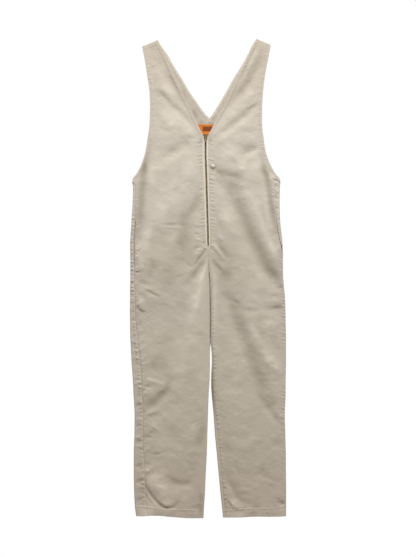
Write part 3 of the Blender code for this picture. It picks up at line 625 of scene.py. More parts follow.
# Inside the neck, the back is shaded below the front's edges.
NECK_SHADES = (0.06, 0.15)  # high up and low down
NECK_SHADE_RAMP = Ramp(560.0, -90.0)
NECK_SHADE_UNDER = 5.0  # how far it goes under the front
NECK_SHADE_REACH = 40.0  # how far it goes beside the front
NECK_RELIEF = 0.25  # the most that the back rises or dips there

# The hem's doubled cloth, by the distance below its stitching.
HEM_STAND = 0.45
HEM_STAND_RAMP = Ramp(0.0, 3.0)
HEM_GROOVE = Swell(-0.5, 0.0, 1.6)
HEM_PUCKERS = Swell(0.8, 1.0, 4.5)
HEM_DENT = Swell(-0.3, 8.0, 5.0)
HEM_LEAN = 0.6
HEM_GATHER_MEAN = 0.55
HEM_TICKS = ((1.0, 7.0, 31), (0.8, 17.0, 33))  # share, pitch and seed of its puckers


class Wave(NamedTuple):
    """Gentle unevenness of laid cloth: its height, its size and its seed."""
    height: float
    size: float
    seed: int

    def at(self, x: Array, y: Array) -> Array:
        """How far it raises the cloth, or lowers it, at each point."""
        return self.height * soft_noise(x, y, self.size, self.seed)


HEM_GATHER = Wave(0.45, 16.0, 32)
WAVES = (Wave(0.9, 52.0, 21), Wave(0.38, 21.0, 22), Wave(0.15, 9.0, 23))


class Half(NamedTuple):
    """One side of the garment: its sign along X, the outer corner of its strap's top, and how much
    higher the inner corner lies."""
    name: str
    sign: int
    shoulder_y: float
    shoulder_rise: float


HALVES = (Half("right", -1, 673.0, 19.0), Half("left", 1, 678.6, 17.0))


# ---- Reading the tables ----
def mix(low: Any, high: Any, share: Any) -> Any:
    """The value a share of the way from low to high."""
    return low + (high - low) * share


def ease(share: Any) -> Any:
    """A smooth step from 0 to 1."""
    share = np.clip(share, 0.0, 1.0)
    return share * share * (3.0 - 2.0 * share)


def hump(distance: Any, half_width: float) -> Any:
    """A soft hump: 1 on its line and falling off on both sides of it."""
    return np.exp(-(distance / half_width) ** 2)


def read(table: Sequence[Any], column: str, y: Any) -> Array:
    """One column of a table at heights y, on a smooth curve that keeps to the rows.

    Args:
        table: Rows with a field y, from the highest down.
        column: The field to read.
        y: One height or many.

    Returns:
        The column's value at each height.
    """
    heights = np.array([row.y for row in table][::-1], float)
    values = np.array([getattr(row, column) for row in table][::-1], float)
    y = np.clip(np.asarray(y, float), heights[0], heights[-1])
    slopes = np.diff(values) / np.diff(heights)
    inner = np.zeros(len(slopes) - 1)
    same_way = slopes[:-1] * slopes[1:] > 0.0
    pairs = slopes[:-1][same_way], slopes[1:][same_way]
    inner[same_way] = 2.0 * pairs[0] * pairs[1] / (pairs[0] + pairs[1])
    slopes = np.concatenate([slopes[:1], inner, slopes[-1:]])
    at = np.clip(np.searchsorted(heights, y, side="right") - 1, 0, len(heights) - 2)
    run = heights[at + 1] - heights[at]
    share = (y - heights[at]) / run
    rest = 1.0 - share
    return (values[at] * (1.0 + 2.0 * share) * rest * rest
            + values[at + 1] * (3.0 - 2.0 * share) * share * share
            + run * share * rest * (slopes[at] * rest - slopes[at + 1] * share))


# ---- Form of the cloth ----
def round_fold(along: Array, radius: Array) -> tuple[Array, Array]:
    """Inset and height on a half-round fold, by the distance along the cloth from its extreme.

    Args:
        along: More than 0 on the upper layer.
        radius: Radius of the fold.

    Returns:
        The inset from the extreme, and the height: twice the radius on the upper layer.
    """
    angle = np.clip(along / radius, -math.pi / 2.0, math.pi / 2.0)
    beyond = np.maximum(np.abs(along) - radius * math.pi / 2.0, 0.0)
    return radius * (1.0 - np.cos(angle)) + beyond, radius * (1.0 + np.sin(angle))


def smooth_path(path: Sequence[Point], steps: int = 5) -> Array:
    """A bent line rounded to a curve that passes the same points.

    Args:
        path: The line's points.
        steps: Pieces between two of them.

    Returns:
        The curve's points.
    """
    points = np.array(path, float)
    points = np.concatenate([2.0 * points[:1] - points[1:2], points, 2.0 * points[-1:] - points[-2:-1]])
    made = []
    for before, start, end, after in zip(points, points[1:], points[2:], points[3:]):
        for share in np.arange(steps) / steps:
            made.append(0.5 * (2.0 * start + (end - before) * share
                               + (2.0 * before - 5.0 * start + 4.0 * end - after) * share ** 2
                               + (3.0 * start - before - 3.0 * end + after) * share ** 3))
    return np.array(made + [points[-2]])


def place_on_path(x: Array, y: Array, path: Array) -> tuple[Array, Array]:
    """Where points lie by a curve.

    Args:
        x: Place of each point across.
        y: Place of each point along the length.
        path: The curve's points.

    Returns:
        Distance from the curve, more than 0 on its left side, and share of the curve's length.
    """
    runs = np.diff(path, axis=0)
    lengths = np.hypot(runs[:, 0], runs[:, 1])
    ahead = np.concatenate([[0.0], np.cumsum(lengths)])
    best, share = np.full(x.shape, np.inf), np.zeros(x.shape)
    side = np.ones(x.shape)
    for start, run, length, passed in zip(path, runs, lengths, ahead):
        off_x, off_y = x - start[0], y - start[1]
        along = np.clip((off_x * run[0] + off_y * run[1]) / length ** 2, 0.0, 1.0)
        distance = np.hypot(off_x - run[0] * along, off_y - run[1] * along)
        nearer = distance < best
        best = np.where(nearer, distance, best)
        share = np.where(nearer, (passed + along * length) / ahead[-1], share)
        side = np.where(nearer, np.where(run[0] * off_y - run[1] * off_x < 0.0, -1.0, 1.0), side)
    return best * side, share


def crease_relief(creases: Sequence[Crease], x: Array, y: Array, end_share: float = 0.0,
                  uneven: float = 0.0, shift: float = 0.0, taper: float = 0.3) -> tuple[Array, Array]:
    """Height and tone of all the creases together at points of the front.

    Args:
        creases: The creases or folds.
        x: Place across.
        y: Place along the length.
        end_share: How much of a crease is left at its ends.
        uneven: How much its depth and width change along it.
        shift: How far below its path a crease that runs across lies, in half widths.
        taper: Share of its length over which it fades at each end.

    Returns:
        The height and the tone at each point.
    """
    height, tone = np.zeros(x.shape), np.zeros(x.shape)
    for number, crease in enumerate(creases):
        random = np.random.default_rng(number + CREASE_SEED)
        knots = np.linspace(0.0, 1.0, CREASE_KNOTS)
        deep = 1.0 + uneven * random.uniform(-1.0, 1.0, CREASE_KNOTS)
        wide = 1.0 + WIDTH_UNEVEN * uneven * random.uniform(-1.0, 1.0, CREASE_KNOTS)
        lean = uneven * random.uniform(-LEAN_UNEVEN, LEAN_UNEVEN)
        line = smooth_path(crease.path)
        run = line[-1] - line[0]
        line[:, 1] -= shift * crease.half_width * abs(run[0]) / math.hypot(*run)
        reach = CREASE_REACH * crease.half_width
        low, high = line.min(0) - reach, line.max(0) + reach
        near = (x > low[0]) & (x < high[0]) & (y > low[1]) & (y < high[1])
        distance, share = place_on_path(x[near], y[near], line)
        width = crease.half_width * np.interp(share, knots, wide) * (1.0 + lean * np.sign(distance))
        ends = mix(end_share, 1.0, ease(np.minimum(share, 1.0 - share) / taper))
        shape = np.exp(-(distance / width) ** 2) * ends * np.interp(share, knots, deep)
        height[near] += crease.height * shape
        # the crease's tone is painted light and shade along it
        tone[near] += crease.tone * shape
    return height, tone


@dataclass(frozen=True)
class Crumples:
    """Many short faint creases of washed cloth, scattered over an area."""
    count: int = 270
    seed: int = 11
    low: Point = (-228.0, -660.0)
    high: Point = (228.0, 620.0)
    slants: Point = (12.0, 78.0)  # least and most, in degrees
    reaches: Point = (8.0, 30.0)  # least and most half length
    bow: float = 0.3  # most bend, as a share of the half length
    heights: Point = (0.16, 0.52)
    half_widths: Point = (3.0, 9.0)
    tone: float = 0.04  # painted light on a ridge and painted shade in a trough, for each mm of its height

    def creases(self) -> list[Crease]:
        """Scatter them.

        Returns:
            The creases.
        """
        random = np.random.default_rng(self.seed)
        made = []
        for _ in range(self.count):
            centre = random.uniform(self.low, self.high)
            slant = random.choice([-1.0, 1.0]) * math.radians(random.uniform(*self.slants))
            reach = random.uniform(*self.reaches)
            run = np.array([math.cos(slant), math.sin(slant)]) * reach
            bow = np.array([-run[1], run[0]]) * random.uniform(-self.bow, self.bow)
            path = (tuple(centre - run), tuple(centre + bow), tuple(centre + run))
            height = random.choice([-1.0, 1.0]) * random.uniform(*self.heights)
            made.append(Crease(path, random.uniform(*self.half_widths), height, self.tone * height))
        return made


@dataclass(frozen=True)
class Knob:
    """The small round bump beside the zip, with a shaded ring round it."""
    place: Point = (14.0, 324.0)
    radius: float = 5.2
    height: float = 1.5
    light: float = 0.03
    ring_place: float = 1.5  # its radius and half width are in radii of the bump
    ring_width: float = 0.6
    ring_depth: float = 0.5
    ring_shade: float = 0.36
    beside: float = 0.6  # share of the ring's shade beside the bump
    lean: float = 0.4  # how much more of it lies below the bump, and less above

    def relief(self, x: Array, y: Array) -> tuple[Array, Array]:
        """Height and tone of the bump and its ring.

        Args:
            x: Place across.
            y: Place along the length.

        Returns:
            The height and the tone at each point.
        """
        across, along = x - self.place[0], y - self.place[1]
        distance = np.hypot(across, along)
        bump = hump(distance, self.radius)
        ring = hump(distance - self.ring_place * self.radius, self.ring_width * self.radius)
        shade = self.ring_shade * (self.beside - self.lean * along / np.maximum(distance, 0.1))
        return self.height * bump - self.ring_depth * ring, self.light * bump - shade * ring


def soft_noise(x: Array, y: Array, size: float, seed: int) -> Array:
    """Smooth uneven values from -1 to 1 that change about every size millimetres.

    Args:
        x: Place of each point across.
        y: Place of each point along the length.
        size: How far the values stay alike.
        seed: Their seed.

    Returns:
        The value at each point.
    """
    cells = 640
    lattice = np.random.default_rng(seed).uniform(-1.0, 1.0, (cells, cells))
    across, along = x / size + cells / 2.0, y / size + cells / 2.0
    column, row = np.floor(across).astype(int), np.floor(along).astype(int)
    share_x, share_y = ease(across - column), ease(along - row)
    lower = mix(lattice[row, column], lattice[row, column + 1], share_x)
    upper = mix(lattice[row + 1, column], lattice[row + 1, column + 1], share_x)
    return mix(lower, upper, share_y)


def ticks(along: Array, pitch: float, seed: int) -> Array:
    """Uneven small ridges along a line: 0 between them and up to 1 on each.

    Args:
        along: Distance along the line.
        pitch: Usual distance from ridge to ridge.
        seed: Seed of their unevenness.

    Returns:
        How much of a ridge is at each distance.
    """
    random = np.random.default_rng(seed)
    places = (np.arange(TICK_COUNT) + random.uniform(-TICK_JITTER, TICK_JITTER, TICK_COUNT)) * pitch
    strengths = random.uniform(TICK_LEAST, 1.0, TICK_COUNT)
    total = np.zeros(along.shape)
    nearest = np.round(along / pitch).astype(int)
    for step in (-1, 0, 1):
        at = np.clip(nearest + step, 0, TICK_COUNT - 1)
        total += strengths[at] * hump(along - places[at], TICK_WIDTH * pitch)
    return total


def row_slope(half: Half, y: Array) -> Array:
    """How much higher a row's end is at the centre than at the side."""
    shoulder = Ramp(SHOULDER_SLOPE_END, half.shoulder_y - SHOULDER_SLOPE_END).at(y)
    return half.shoulder_rise * shoulder - HEM_DROP * HEM_SLOPE.at(y)


class EdgeForm(NamedTuple):
    """A long edge of a panel at each row: its extreme, its fold, where the cloth ends along it,
    and how far the cloth is shifted back to the extreme."""
    x: Array
    radius: Array
    end: Array
    shift: Array


def half_gap(turn: Array, radius: Array) -> Array:
    """Half the gap at a seam, wider on a fold, where the inner faces come closer together."""
    on_fold = np.abs(turn) < radius * math.pi / 2.0 + CLOTH
    return SEAM_GAP / 2.0 * np.where(on_fold, radius / (radius - CLOTH), 1.0)


def mouth_gap(y: Array) -> Array:
    """What the pocket mouth adds to half the gap of a side seam."""
    return POCKET_OPENING / 2.0 * POCKET_TOP.at(y) * POCKET_END.at(y)


def side_edge(half: Half, y: Array, layer: Layer) -> EdgeForm:
    """The armhole or side seam end of each row.

    Args:
        half: The side of the garment.
        y: Height of each row.
        layer: Front or back.

    Returns:
        The edge's form.
    """
    radius = read(RISES, "side", y) / 2.0
    quarter = radius * math.pi / 2.0
    folded = SIDE_FOLD.at(y)
    turn = read(TURNS, half.name + "_side", y)
    x = read(SECTIONS, half.name + "_side", y)
    gap = half_gap(turn, radius) + mouth_gap(y)
    if layer is Layer.BACK:
        end = mix(quarter + ARMHOLE_INSET, gap - turn, folded)
        return EdgeForm(x, radius, end, np.zeros(y.shape))
    end = mix(quarter, turn + gap, folded)
    return EdgeForm(x, radius, end, round_fold(np.maximum(end, 0.0), radius)[0] * (1.0 - folded))


def centre_edge(half: Half, y: Array, layer: Layer) -> EdgeForm:
    """The neck, zip, centre seam or inseam end of each row.

    Args:
        half: The side of the garment.
        y: Height of each row.
        layer: Front or back.

    Returns:
        The edge's form.
    """
    radius = read(RISES, "centre", y) / 2.0
    quarter = radius * math.pi / 2.0
    folded = INSEAM_FOLD.at(y)
    turn = read(TURNS, half.name + "_inseam", y)
    x = read(SECTIONS, half.name + "_centre", y)
    if layer is Layer.BACK:
        x = np.where(y < BACK_CENTRES[-1].y, x, read(BACK_CENTRES, half.name, y))
        turn = -turn
    end = mix(quarter, turn + half_gap(turn, radius), folded)
    return EdgeForm(x, radius, end, round_fold(np.maximum(end, 0.0), radius)[0] * (1.0 - folded))


def hem_line(half: Half, x: Array) -> Array:
    """Height of the hem's stitching at a place across a leg."""
    line = np.array(HEM_LINES[half.name], float)
    return np.interp(x, line[:, 0], line[:, 1])


@dataclass
class PanelSurface:
    """The outer face of one panel as a fine grid of points, rows from the strap's top to the hem.

    Attributes:
        half: The side of the garment.
        layer: Front or back.
        pitch: Distance between rows.
        hem_pitch: Distance between rows over the hem.
        edge_steps: Columns in each fine zone at the edges.
        edge_zone: Width of that zone past the fold, at least.
        middle: Columns between the two zones.
        crowding: How much closer the middle columns lie near the zones.
    """
    half: Half
    layer: Layer
    pitch: float
    hem_pitch: float
    edge_steps: int
    edge_zone: float
    middle: int
    crowding: float = 0.3

    def __post_init__(self) -> None:
        """Work out the points, tones and cloth coordinates."""
        levels, along_shoulder = self._levels()
        self.slope = row_slope(self.half, levels)
        self.side = side_edge(self.half, levels, self.layer)
        self.centre = centre_edge(self.half, levels + self.slope, self.layer)
        self._lay_columns(levels)
        self._raise_cloth()
        turned = np.sin(np.minimum(along_shoulder / SHOULDER_RADIUS, math.pi / 2.0))[:, None]
        self.z = SHOULDER_RADIUS + (self.z - SHOULDER_RADIUS) * turned
        self.points = np.stack([self.x, self.y, self.z], axis=-1)
        self._round_lips()
        self.normals = self._normals()
        across = np.linalg.norm(np.diff(self.points, axis=1), axis=-1)
        self.across = np.concatenate([np.zeros((len(levels), 1)), np.cumsum(across, axis=1)], axis=1)
        self.uv = np.stack([self.across, self.y], axis=-1) * MM

    def _levels(self) -> tuple[Array, Array]:
        """Height of each row, and its distance along the cloth from the shoulder fold.

        Returns:
            The heights and the distances, from the top down.
        """
        arcs = np.array(SHOULDER_ROWS)
        drops = SHOULDER_RADIUS * (1.0 - np.cos(arcs / SHOULDER_RADIUS))
        top = self.half.shoulder_y - SHOULDER_RADIUS
        main = np.linspace(top, HEM_FINE_Y, round((top - HEM_FINE_Y) / self.pitch) + 1)
        hem = np.linspace(HEM_FINE_Y, HEM_Y, round((HEM_FINE_Y - HEM_Y) / self.hem_pitch) + 1)[1:]
        levels = np.concatenate([self.half.shoulder_y - drops, main, hem])
        flat = np.full(len(main) + len(hem), SHOULDER_RADIUS * math.pi / 2.0)
        return levels, np.concatenate([arcs, flat])

    def _zone(self, edge: EdgeForm) -> Array:
        """Distances along the cloth for the fine columns, from a panel's end round the fold.

        Args:
            edge: The edge.

        Returns:
            The distances for each row.
        """
        quarter = edge.radius * math.pi / 2.0
        start = edge.end + FIRST_STEP
        stop = np.maximum(start + self.edge_zone, quarter + FIRST_STEP)
        shares = np.linspace(0.0, 1.0, self.edge_steps + 1)
        zone = start[:, None] + (stop - start)[:, None] * shares
        return np.concatenate([edge.end[:, None], zone], axis=1)

    def _lay_columns(self, levels: Array) -> None:
        """Places across, along and up of every point of the plain folded cloth.

        Args:
            levels: Height of each row.
        """
        sign, runs = self.half.sign, []
        for edge, inward in ((self.side, -sign), (self.centre, sign)):
            inset, height = round_fold(self._zone(edge), edge.radius[:, None])
            if self.layer is Layer.BACK:
                height = 2.0 * edge.radius[:, None] - height
            x = edge.x[:, None] + inward * (inset - edge.shift[:, None])
            runs.append(np.stack([x, height, height / (2.0 * edge.radius[:, None])], axis=-1))
        shares = np.arange(1, self.middle + 1) / (self.middle + 1)
        shares = shares - self.crowding * np.sin(2.0 * math.pi * shares) / (2.0 * math.pi)
        centre_run = runs[1][:, ::-1]
        between = mix(runs[0][:, -1:], centre_run[:, :1], shares[None, :, None])
        every = np.concatenate([runs[0], between, centre_run], axis=1)
        self.x, self.flat_z, self.upper = every[..., 0], every[..., 1], every[..., 2]
        width = np.abs(self.centre.x - self.side.x)[:, None]
        seam_x = float(read(SECTIONS, self.half.name + "_centre", ZIP_END_Y))
        followed = mix(seam_x, self.centre.x, ZIP_CLOSING.at(levels))
        soft_x = np.where(levels > ZIP_CLOSING.start, followed, self.centre.x)
        self.from_soft_centre = np.maximum((self.x - soft_x[:, None]) * sign, 0.0)
        self.from_side = np.maximum((self.side.x[:, None] - self.x) * sign, 0.0)
        self.from_centre = np.maximum((self.x - self.centre.x[:, None]) * sign, 0.0)
        share = np.minimum(self.from_side / width, 1.0)
        low = ease((HEM_FINE_Y - levels) / (HEM_FINE_Y - HEM_Y))[:, None]
        wave = np.array(HEM_WAVES[self.half.name], float)
        raised = low * np.interp(self.x, wave[:, 0], wave[:, 1])
        self.y = levels[:, None] + self.slope[:, None] * share + raised

    def _end_distance(self, edge: Edge) -> Array:
        """Distance of every point from the panel's own end at an edge."""
        end_x = self.x[:, :1] if edge is Edge.SIDE else self.x[:, -1:]
        return np.abs(self.x - end_x)

    def _edge_length(self, edge: Edge) -> Array:
        """Length of an edge from its top to each row.

        Args:
            edge: The edge.

        Returns:
            The length at each row.
        """
        column = 0 if edge is Edge.SIDE else -1
        steps = np.hypot(np.diff(self.x[:, column]), np.diff(self.y[:, column]))
        return np.concatenate([[0.0], np.cumsum(steps)])[:, None]

    def _raise_cloth(self) -> None:
        """Add the loft, folds, creases, bands, seams and hem to the plain folded cloth."""
        side, centre = 1.0 - hump(self.from_side, LOFT_RUN), 1.0 - hump(self.from_soft_centre, LOFT_RUN)
        nearest = np.minimum(self.from_side, self.from_soft_centre)
        loft = read(RISES, "loft", self.y) * side * centre
        folds, fold_tone = crease_relief(FOLDS, self.x, self.y, end_share=FOLD_END_SHARE)
        creases, crease_tone = crease_relief(
            CREASES + Crumples().creases(), self.x, self.y, uneven=CREASE_UNEVEN, shift=SHADE_SHIFT,
            taper=CREASE_TAPER)
        kept = mix(CREASE_AT_EDGE, 1.0, ease(nearest / CREASE_RUN))
        waves = sum(wave.at(self.x, self.y) for wave in WAVES)
        rise = loft + (folds + waves) * ease(nearest / FOLD_RUN) + CREASE_SHARE * creases * kept
        # painted light and shade of the folds and creases, with the painted shade and lighter hems of
        # _shade
        tone = fold_tone * ease(nearest / CREASE_RUN) + crease_tone * kept + self._shade()
        for band in BANDS:
            if band.layer is self.layer and band.half == self.half.name:
                band_rise, band_tone = self._band(band)
                rise, tone = rise + band_rise, tone + band_tone
        if self.half.sign > 0:
            knob_rise, knob_tone = Knob().relief(self.x, self.y)
            rise, tone = rise + knob_rise, tone + knob_tone
        rise = rise + self._seams() + self._hem()
        shown = ease(self.upper)
        self.z = np.maximum(self.flat_z + rise * shown, 0.0)
        # the back keeps part of the creases' painted light and shade
        under = UNDERSIDE_SHADE_SHARE * (fold_tone + crease_tone) if self.layer is Layer.BACK else 0.0
        self.tone = mix(under, tone, shown)

    def _band(self, band: Band) -> tuple[Array, Array]:
        """Height and tone of one stitched edge, its stitching groove and its puckers.

        Args:
            band: The stitched edge.

        Returns:
            The height and the tone at each point.
        """
        distance = self._end_distance(band.edge)
        ends = ease((band.high_y - self.y) / BAND_END_RUN) * ease((self.y - band.low_y) / BAND_END_RUN)
        along = self._edge_length(band.edge) + band.lean * (distance - band.stitch)
        shape = ticks(np.maximum(along, 0.0), band.pitch, band.seed)
        gathering = Wave(GATHER_CHANGE, GATHER_SIZE, band.seed + GATHER_SEED)
        gathered = GATHER_MEAN + gathering.at(0.0 * self.y, self.y)
        puckers = shape * gathered * hump(distance - band.stitch, band.reach)
        stand = band.stand * (1.0 - ease((distance - band.stitch) / BAND_STEP_RUN))
        groove = band.groove * hump(distance - band.stitch, GROOVE_WIDTH)
        # painted light on the puckers' ridges and painted shade between them
        tone = PUCKER_TONE * (shape - PUCKER_MEAN) * hump(distance - band.stitch, band.reach)
        return (stand - groove + band.pucker * puckers) * ends, tone * ends

    def _seams(self) -> Array:
        """How far the cloth dips to the side seam, the centre seam and the inseam.

        Returns:
            The height at each point.
        """
        side = SEAM_DIP.at(self._end_distance(Edge.SIDE)) * SIDE_DIP_TOP.at(self.y)
        centre = SEAM_DIP.at(self._end_distance(Edge.CENTRE)) * CENTRE_DIP_TOP.at(self.y)
        return side + centre

    def _shade(self) -> Array:
        """Painted shade in the seams, the pocket mouth, along the neck edges, between the legs and beside
        the slider, and the lighter hems.

        Returns:
            How much lighter or darker each point is.
        """
        below_hem = hem_line(self.half, self.x) - self.y
        seam = SEAM_SHADE.at(self.from_centre) * SEAM_SHADE_TOP.at(self.y) * SEAM_SHADE_END.at(self.y)
        tone = HEM_LIGHTENING * HEM_LIGHTENING_TOP.at(below_hem) + seam
        if self.half.sign < 0:
            opened = mouth_gap(self.y) / POCKET_OPENING
            tone += MOUTH_SHADE.at(self._end_distance(Edge.SIDE)) * opened
        else:
            tone += GAP_SPAN.at(self.y) * sum(gap_shade.at(self.from_centre) for gap_shade in GAP_SHADE)
        if self.layer is Layer.FRONT:
            tone += NECK_EDGE_SHADE.at(self.from_centre) * NECK_EDGE_SHADE_END.at(self.y)
        else:
            tone += BACK_NECK_SHADE.at(self.from_centre) * BACK_NECK_SHADE_END.at(self.y)
        for x, y in SLIDER_SPOTS:
            tone += SLIDER_SHADE.at(np.hypot(self.x - x, SLIDER_SPOT_LENGTH * (self.y - y)))
        return tone

    def _hem(self) -> Array:
        """The doubled cloth of the hem, drawn in along its stitching.

        Returns:
            The height at each point.
        """
        below = hem_line(self.half, self.x) - self.y
        along = np.abs(self.x) + HEM_LEAN * below
        drawn = HEM_GATHER_MEAN + HEM_GATHER.at(self.x, self.y)
        ridges = sum(share * ticks(along, pitch, seed) for share, pitch, seed in HEM_TICKS)
        puckers = ridges * HEM_PUCKERS.at(below)
        stand = HEM_STAND * HEM_STAND_RAMP.at(below)
        return stand + drawn * (HEM_GROOVE.at(below) + HEM_DENT.at(below) + puckers)

    def _round_lips(self) -> None:
        """Draw the cloth in a little at its long edges and at the hem, so that no edge is sharp."""
        normals = self._normals()
        for column in (0, -1):
            self.points[:, column] -= normals[:, column] * EDGE_LIP
        self.points[-1, 1:-1] -= normals[-1, 1:-1] * EDGE_LIP
        self.points[..., 2] = np.maximum(self.points[..., 2], 0.0)

    def _normals(self) -> Array:
        """Unit normals of the grid, on the side the panel faces.

        Returns:
            The normal at each point.
        """
        down = np.gradient(self.points, axis=0)
        right = np.gradient(self.points, axis=1)
        normal = np.cross(right, down)
        normal /= np.linalg.norm(normal, axis=-1, keepdims=True)
        facing = 1.0 if self.layer is Layer.FRONT else -1.0
        return normal * np.sign(normal[..., 2].mean()) * facing

    def _inside_neck(self, x: Array, y: Array) -> tuple[Array, Array]:
        """Height and tone of the back's inner face where it shows inside the neck.

        Args:
            x: Place of each point across.
            y: Place of each point along the length.

        Returns:
            The height and the tone at each point.
        """
        if self.layer is Layer.FRONT:
            return np.zeros(x.shape), np.zeros(x.shape)
        height, tone = crease_relief(NECK_CREASES, x, y)
        front = (x - read(SECTIONS, self.half.name + "_centre", y)) * -self.half.sign
        shaded = mix(*NECK_SHADES, NECK_SHADE_RAMP.at(y))
        shaded = shaded * hump(np.minimum(front, 0.0), NECK_SHADE_UNDER)
        shaded = shaded * hump(np.maximum(front, 0.0), NECK_SHADE_REACH)
        return np.clip(height, -NECK_RELIEF, NECK_RELIEF), tone - shaded

    def wall(self, step: int) -> "Wall":
        """The panel as a wall, its inner face coarser than its outer one by a step.

        Args:
            step: How much coarser its inner face is.

        Returns:
            The wall.
        """
        rows, columns = (
            np.unique(np.append(np.arange(0, count, step), count - 1)) for count in self.points.shape[:2])
        pick = np.ix_(rows, columns)
        inner = self.points[pick] - self.normals[pick] * CLOTH
        inner[..., 2] = np.maximum(inner[..., 2], 0.0)
        height, tone = self._inside_neck(inner[..., 0], inner[..., 1])
        inner[..., 2] += height
        return Wall(self.points, inner, rows, columns, self.tone[pick] + tone)

    def line_along(self, edge: Edge, distance: float, high_y: float, low_y: float) -> "StitchLine":
        """A line on the cloth at a distance from an edge.

        Args:
            edge: The edge it follows.
            distance: Distance from the panel's own end there.
            high_y: Where it starts.
            low_y: Where it ends.

        Returns:
            The line's points and the cloth's normals along it.
        """
        gap = self._end_distance(edge)
        columns = range(gap.shape[1]) if edge is Edge.SIDE else range(gap.shape[1] - 1, -1, -1)
        order = list(columns)
        places, normals = [], []
        for row in range(len(gap)):
            passed = int(np.argmax(gap[row, order] >= distance))
            near, far = order[passed - 1], order[passed]
            share = (distance - gap[row, near]) / (gap[row, far] - gap[row, near])
            place = mix(self.points[row, near], self.points[row, far], share)
            if passed > 0 and low_y <= place[1] <= high_y:
                places.append(place)
                normals.append(mix(self.normals[row, near], self.normals[row, far], share))
        return StitchLine(np.array(places), np.array(normals))

    def line_across(self, height_at: Any) -> "StitchLine":
        """A line on the cloth across a leg, where its height is that of a function of x.

        Args:
            height_at: The function.

        Returns:
            The line's points and the cloth's normals along it.
        """
        places, normals = [], []
        for column in np.flatnonzero(self.upper.min(axis=0) > 0.75):
            offset = self.y[:, column] - height_at(self.x[:, column])
            row = int(np.argmax(offset < 0.0))
            share = offset[row - 1] / (offset[row - 1] - offset[row])
            places.append(mix(self.points[row - 1, column], self.points[row, column], share))
            normals.append(mix(self.normals[row - 1, column], self.normals[row, column], share))
        return StitchLine(np.array(places), np.array(normals))


class StitchLine(NamedTuple):
    """A line on a surface, with the surface's normals along it."""
    points: Array
    normals: Array


class Wall(NamedTuple):
    """An outer grid, the coarser grid inside it, which rows and columns that one follows, and how
    much lighter or darker each of its points is."""
    outer: Array
    inner: Array
    rows: Array
    columns: Array
    inner_tone: Array

    def faces(self) -> list[tuple[int, ...]]:
        """Faces of both grids and of the rim between them, as numbers of the points of the outer
        grid and then of the inner one.

        Returns:
            The faces.
        """
        outer = np.arange(self.outer.shape[0] * self.outer.shape[1]).reshape(self.outer.shape[:2])
        inner = np.arange(len(self.rows) * len(self.columns)) + outer.size
        inner = inner.reshape(len(self.rows), len(self.columns))
        made = grid_quads(outer).tolist() + grid_quads(inner[:, ::-1]).tolist()
        for edge, inside, marks in (
            (outer[0], inner[0], self.columns), (outer[-1], inner[-1], self.columns),
            (outer[:, 0], inner[:, 0], self.rows), (outer[:, -1], inner[:, -1], self.rows)):
            made += rim_faces(edge, inside, marks)
        return made


def grid_quads(index: Array) -> Array:
    """The faces of a grid, from the number of each of its points."""
    quads = np.stack([index[:-1, :-1], index[:-1, 1:], index[1:, 1:], index[1:, :-1]], axis=-1)
    return quads.reshape(-1, 4)


def rim_faces(edge: Array, inside: Array, marks: Array) -> list[tuple[int, ...]]:
    """Faces between a fine edge and a coarser one that has a point at each mark of the fine one.

    Args:
        edge: Numbers of the fine edge's points.
        inside: Numbers of the coarser edge's points.
        marks: The marks.

    Returns:
        The faces.
    """
    made = []
    for number, (first, last) in enumerate(zip(marks, marks[1:])):
        near, far = int(inside[number]), int(inside[number + 1])
        middle = (first + last) // 2
        made += [(near, int(edge[at]), int(edge[at + 1])) for at in range(first, middle)]
        made += [(near, int(edge[middle]), far)]
        made += [(far, int(edge[at]), int(edge[at + 1])) for at in range(middle, last)]
    return made


# ---- Node trees ----
class Graph:
    """A node tree that is being filled."""

    def __init__(self, tree: Tree) -> None:
        """Start from an empty tree."""
        self.tree = tree
        tree.nodes.clear()

    def add(self, kind: str, inputs: dict[Any, Any] | None = None, **settings: Any) -> bpy.types.Node:
        """Add a node.

        Args:
            kind: The node's type.
            inputs: Value or socket for each input, by its name or number.
            **settings: The node's own settings.

        Returns:
            The node.
        """
        node = self.tree.nodes.new(kind)
        for name, value in settings.items():
            setattr(node, name, value)
        for name, value in (inputs or {}).items():
            if isinstance(value, Socket):
                self.tree.links.new(value, node.inputs[name])
            else:
                node.inputs[name].default_value = value
        return node

    def math(self, operation: str, *values: Any) -> Socket:
        """The result of a math node on values or sockets."""
        node = self.add("ShaderNodeMath", dict(enumerate(values)), operation=operation)
        return node.outputs[0]


def new_group(name: str, kind: str, inputs: dict[str, tuple[str, Any]], outputs: dict[str, str]) -> Tree:
    """An empty node group with its sockets.

    Args:
        name: The group's name.
        kind: ShaderNodeTree or GeometryNodeTree.
        inputs: Socket type and default value of each input.
        outputs: Socket type of each output.

    Returns:
        The group.
    """
    tree = bpy.data.node_groups.new(name, kind)
    for label, (socket_type, default) in inputs.items():
        socket = tree.interface.new_socket(label, in_out="INPUT", socket_type=socket_type)
        if default is not None:
            socket.default_value = default
    for label, socket_type in outputs.items():
        tree.interface.new_socket(label, in_out="OUTPUT", socket_type=socket_type)
    return tree


WAVE_PERIOD = 2.0 * math.pi / 20.0  # width of one wave at a scale of 1


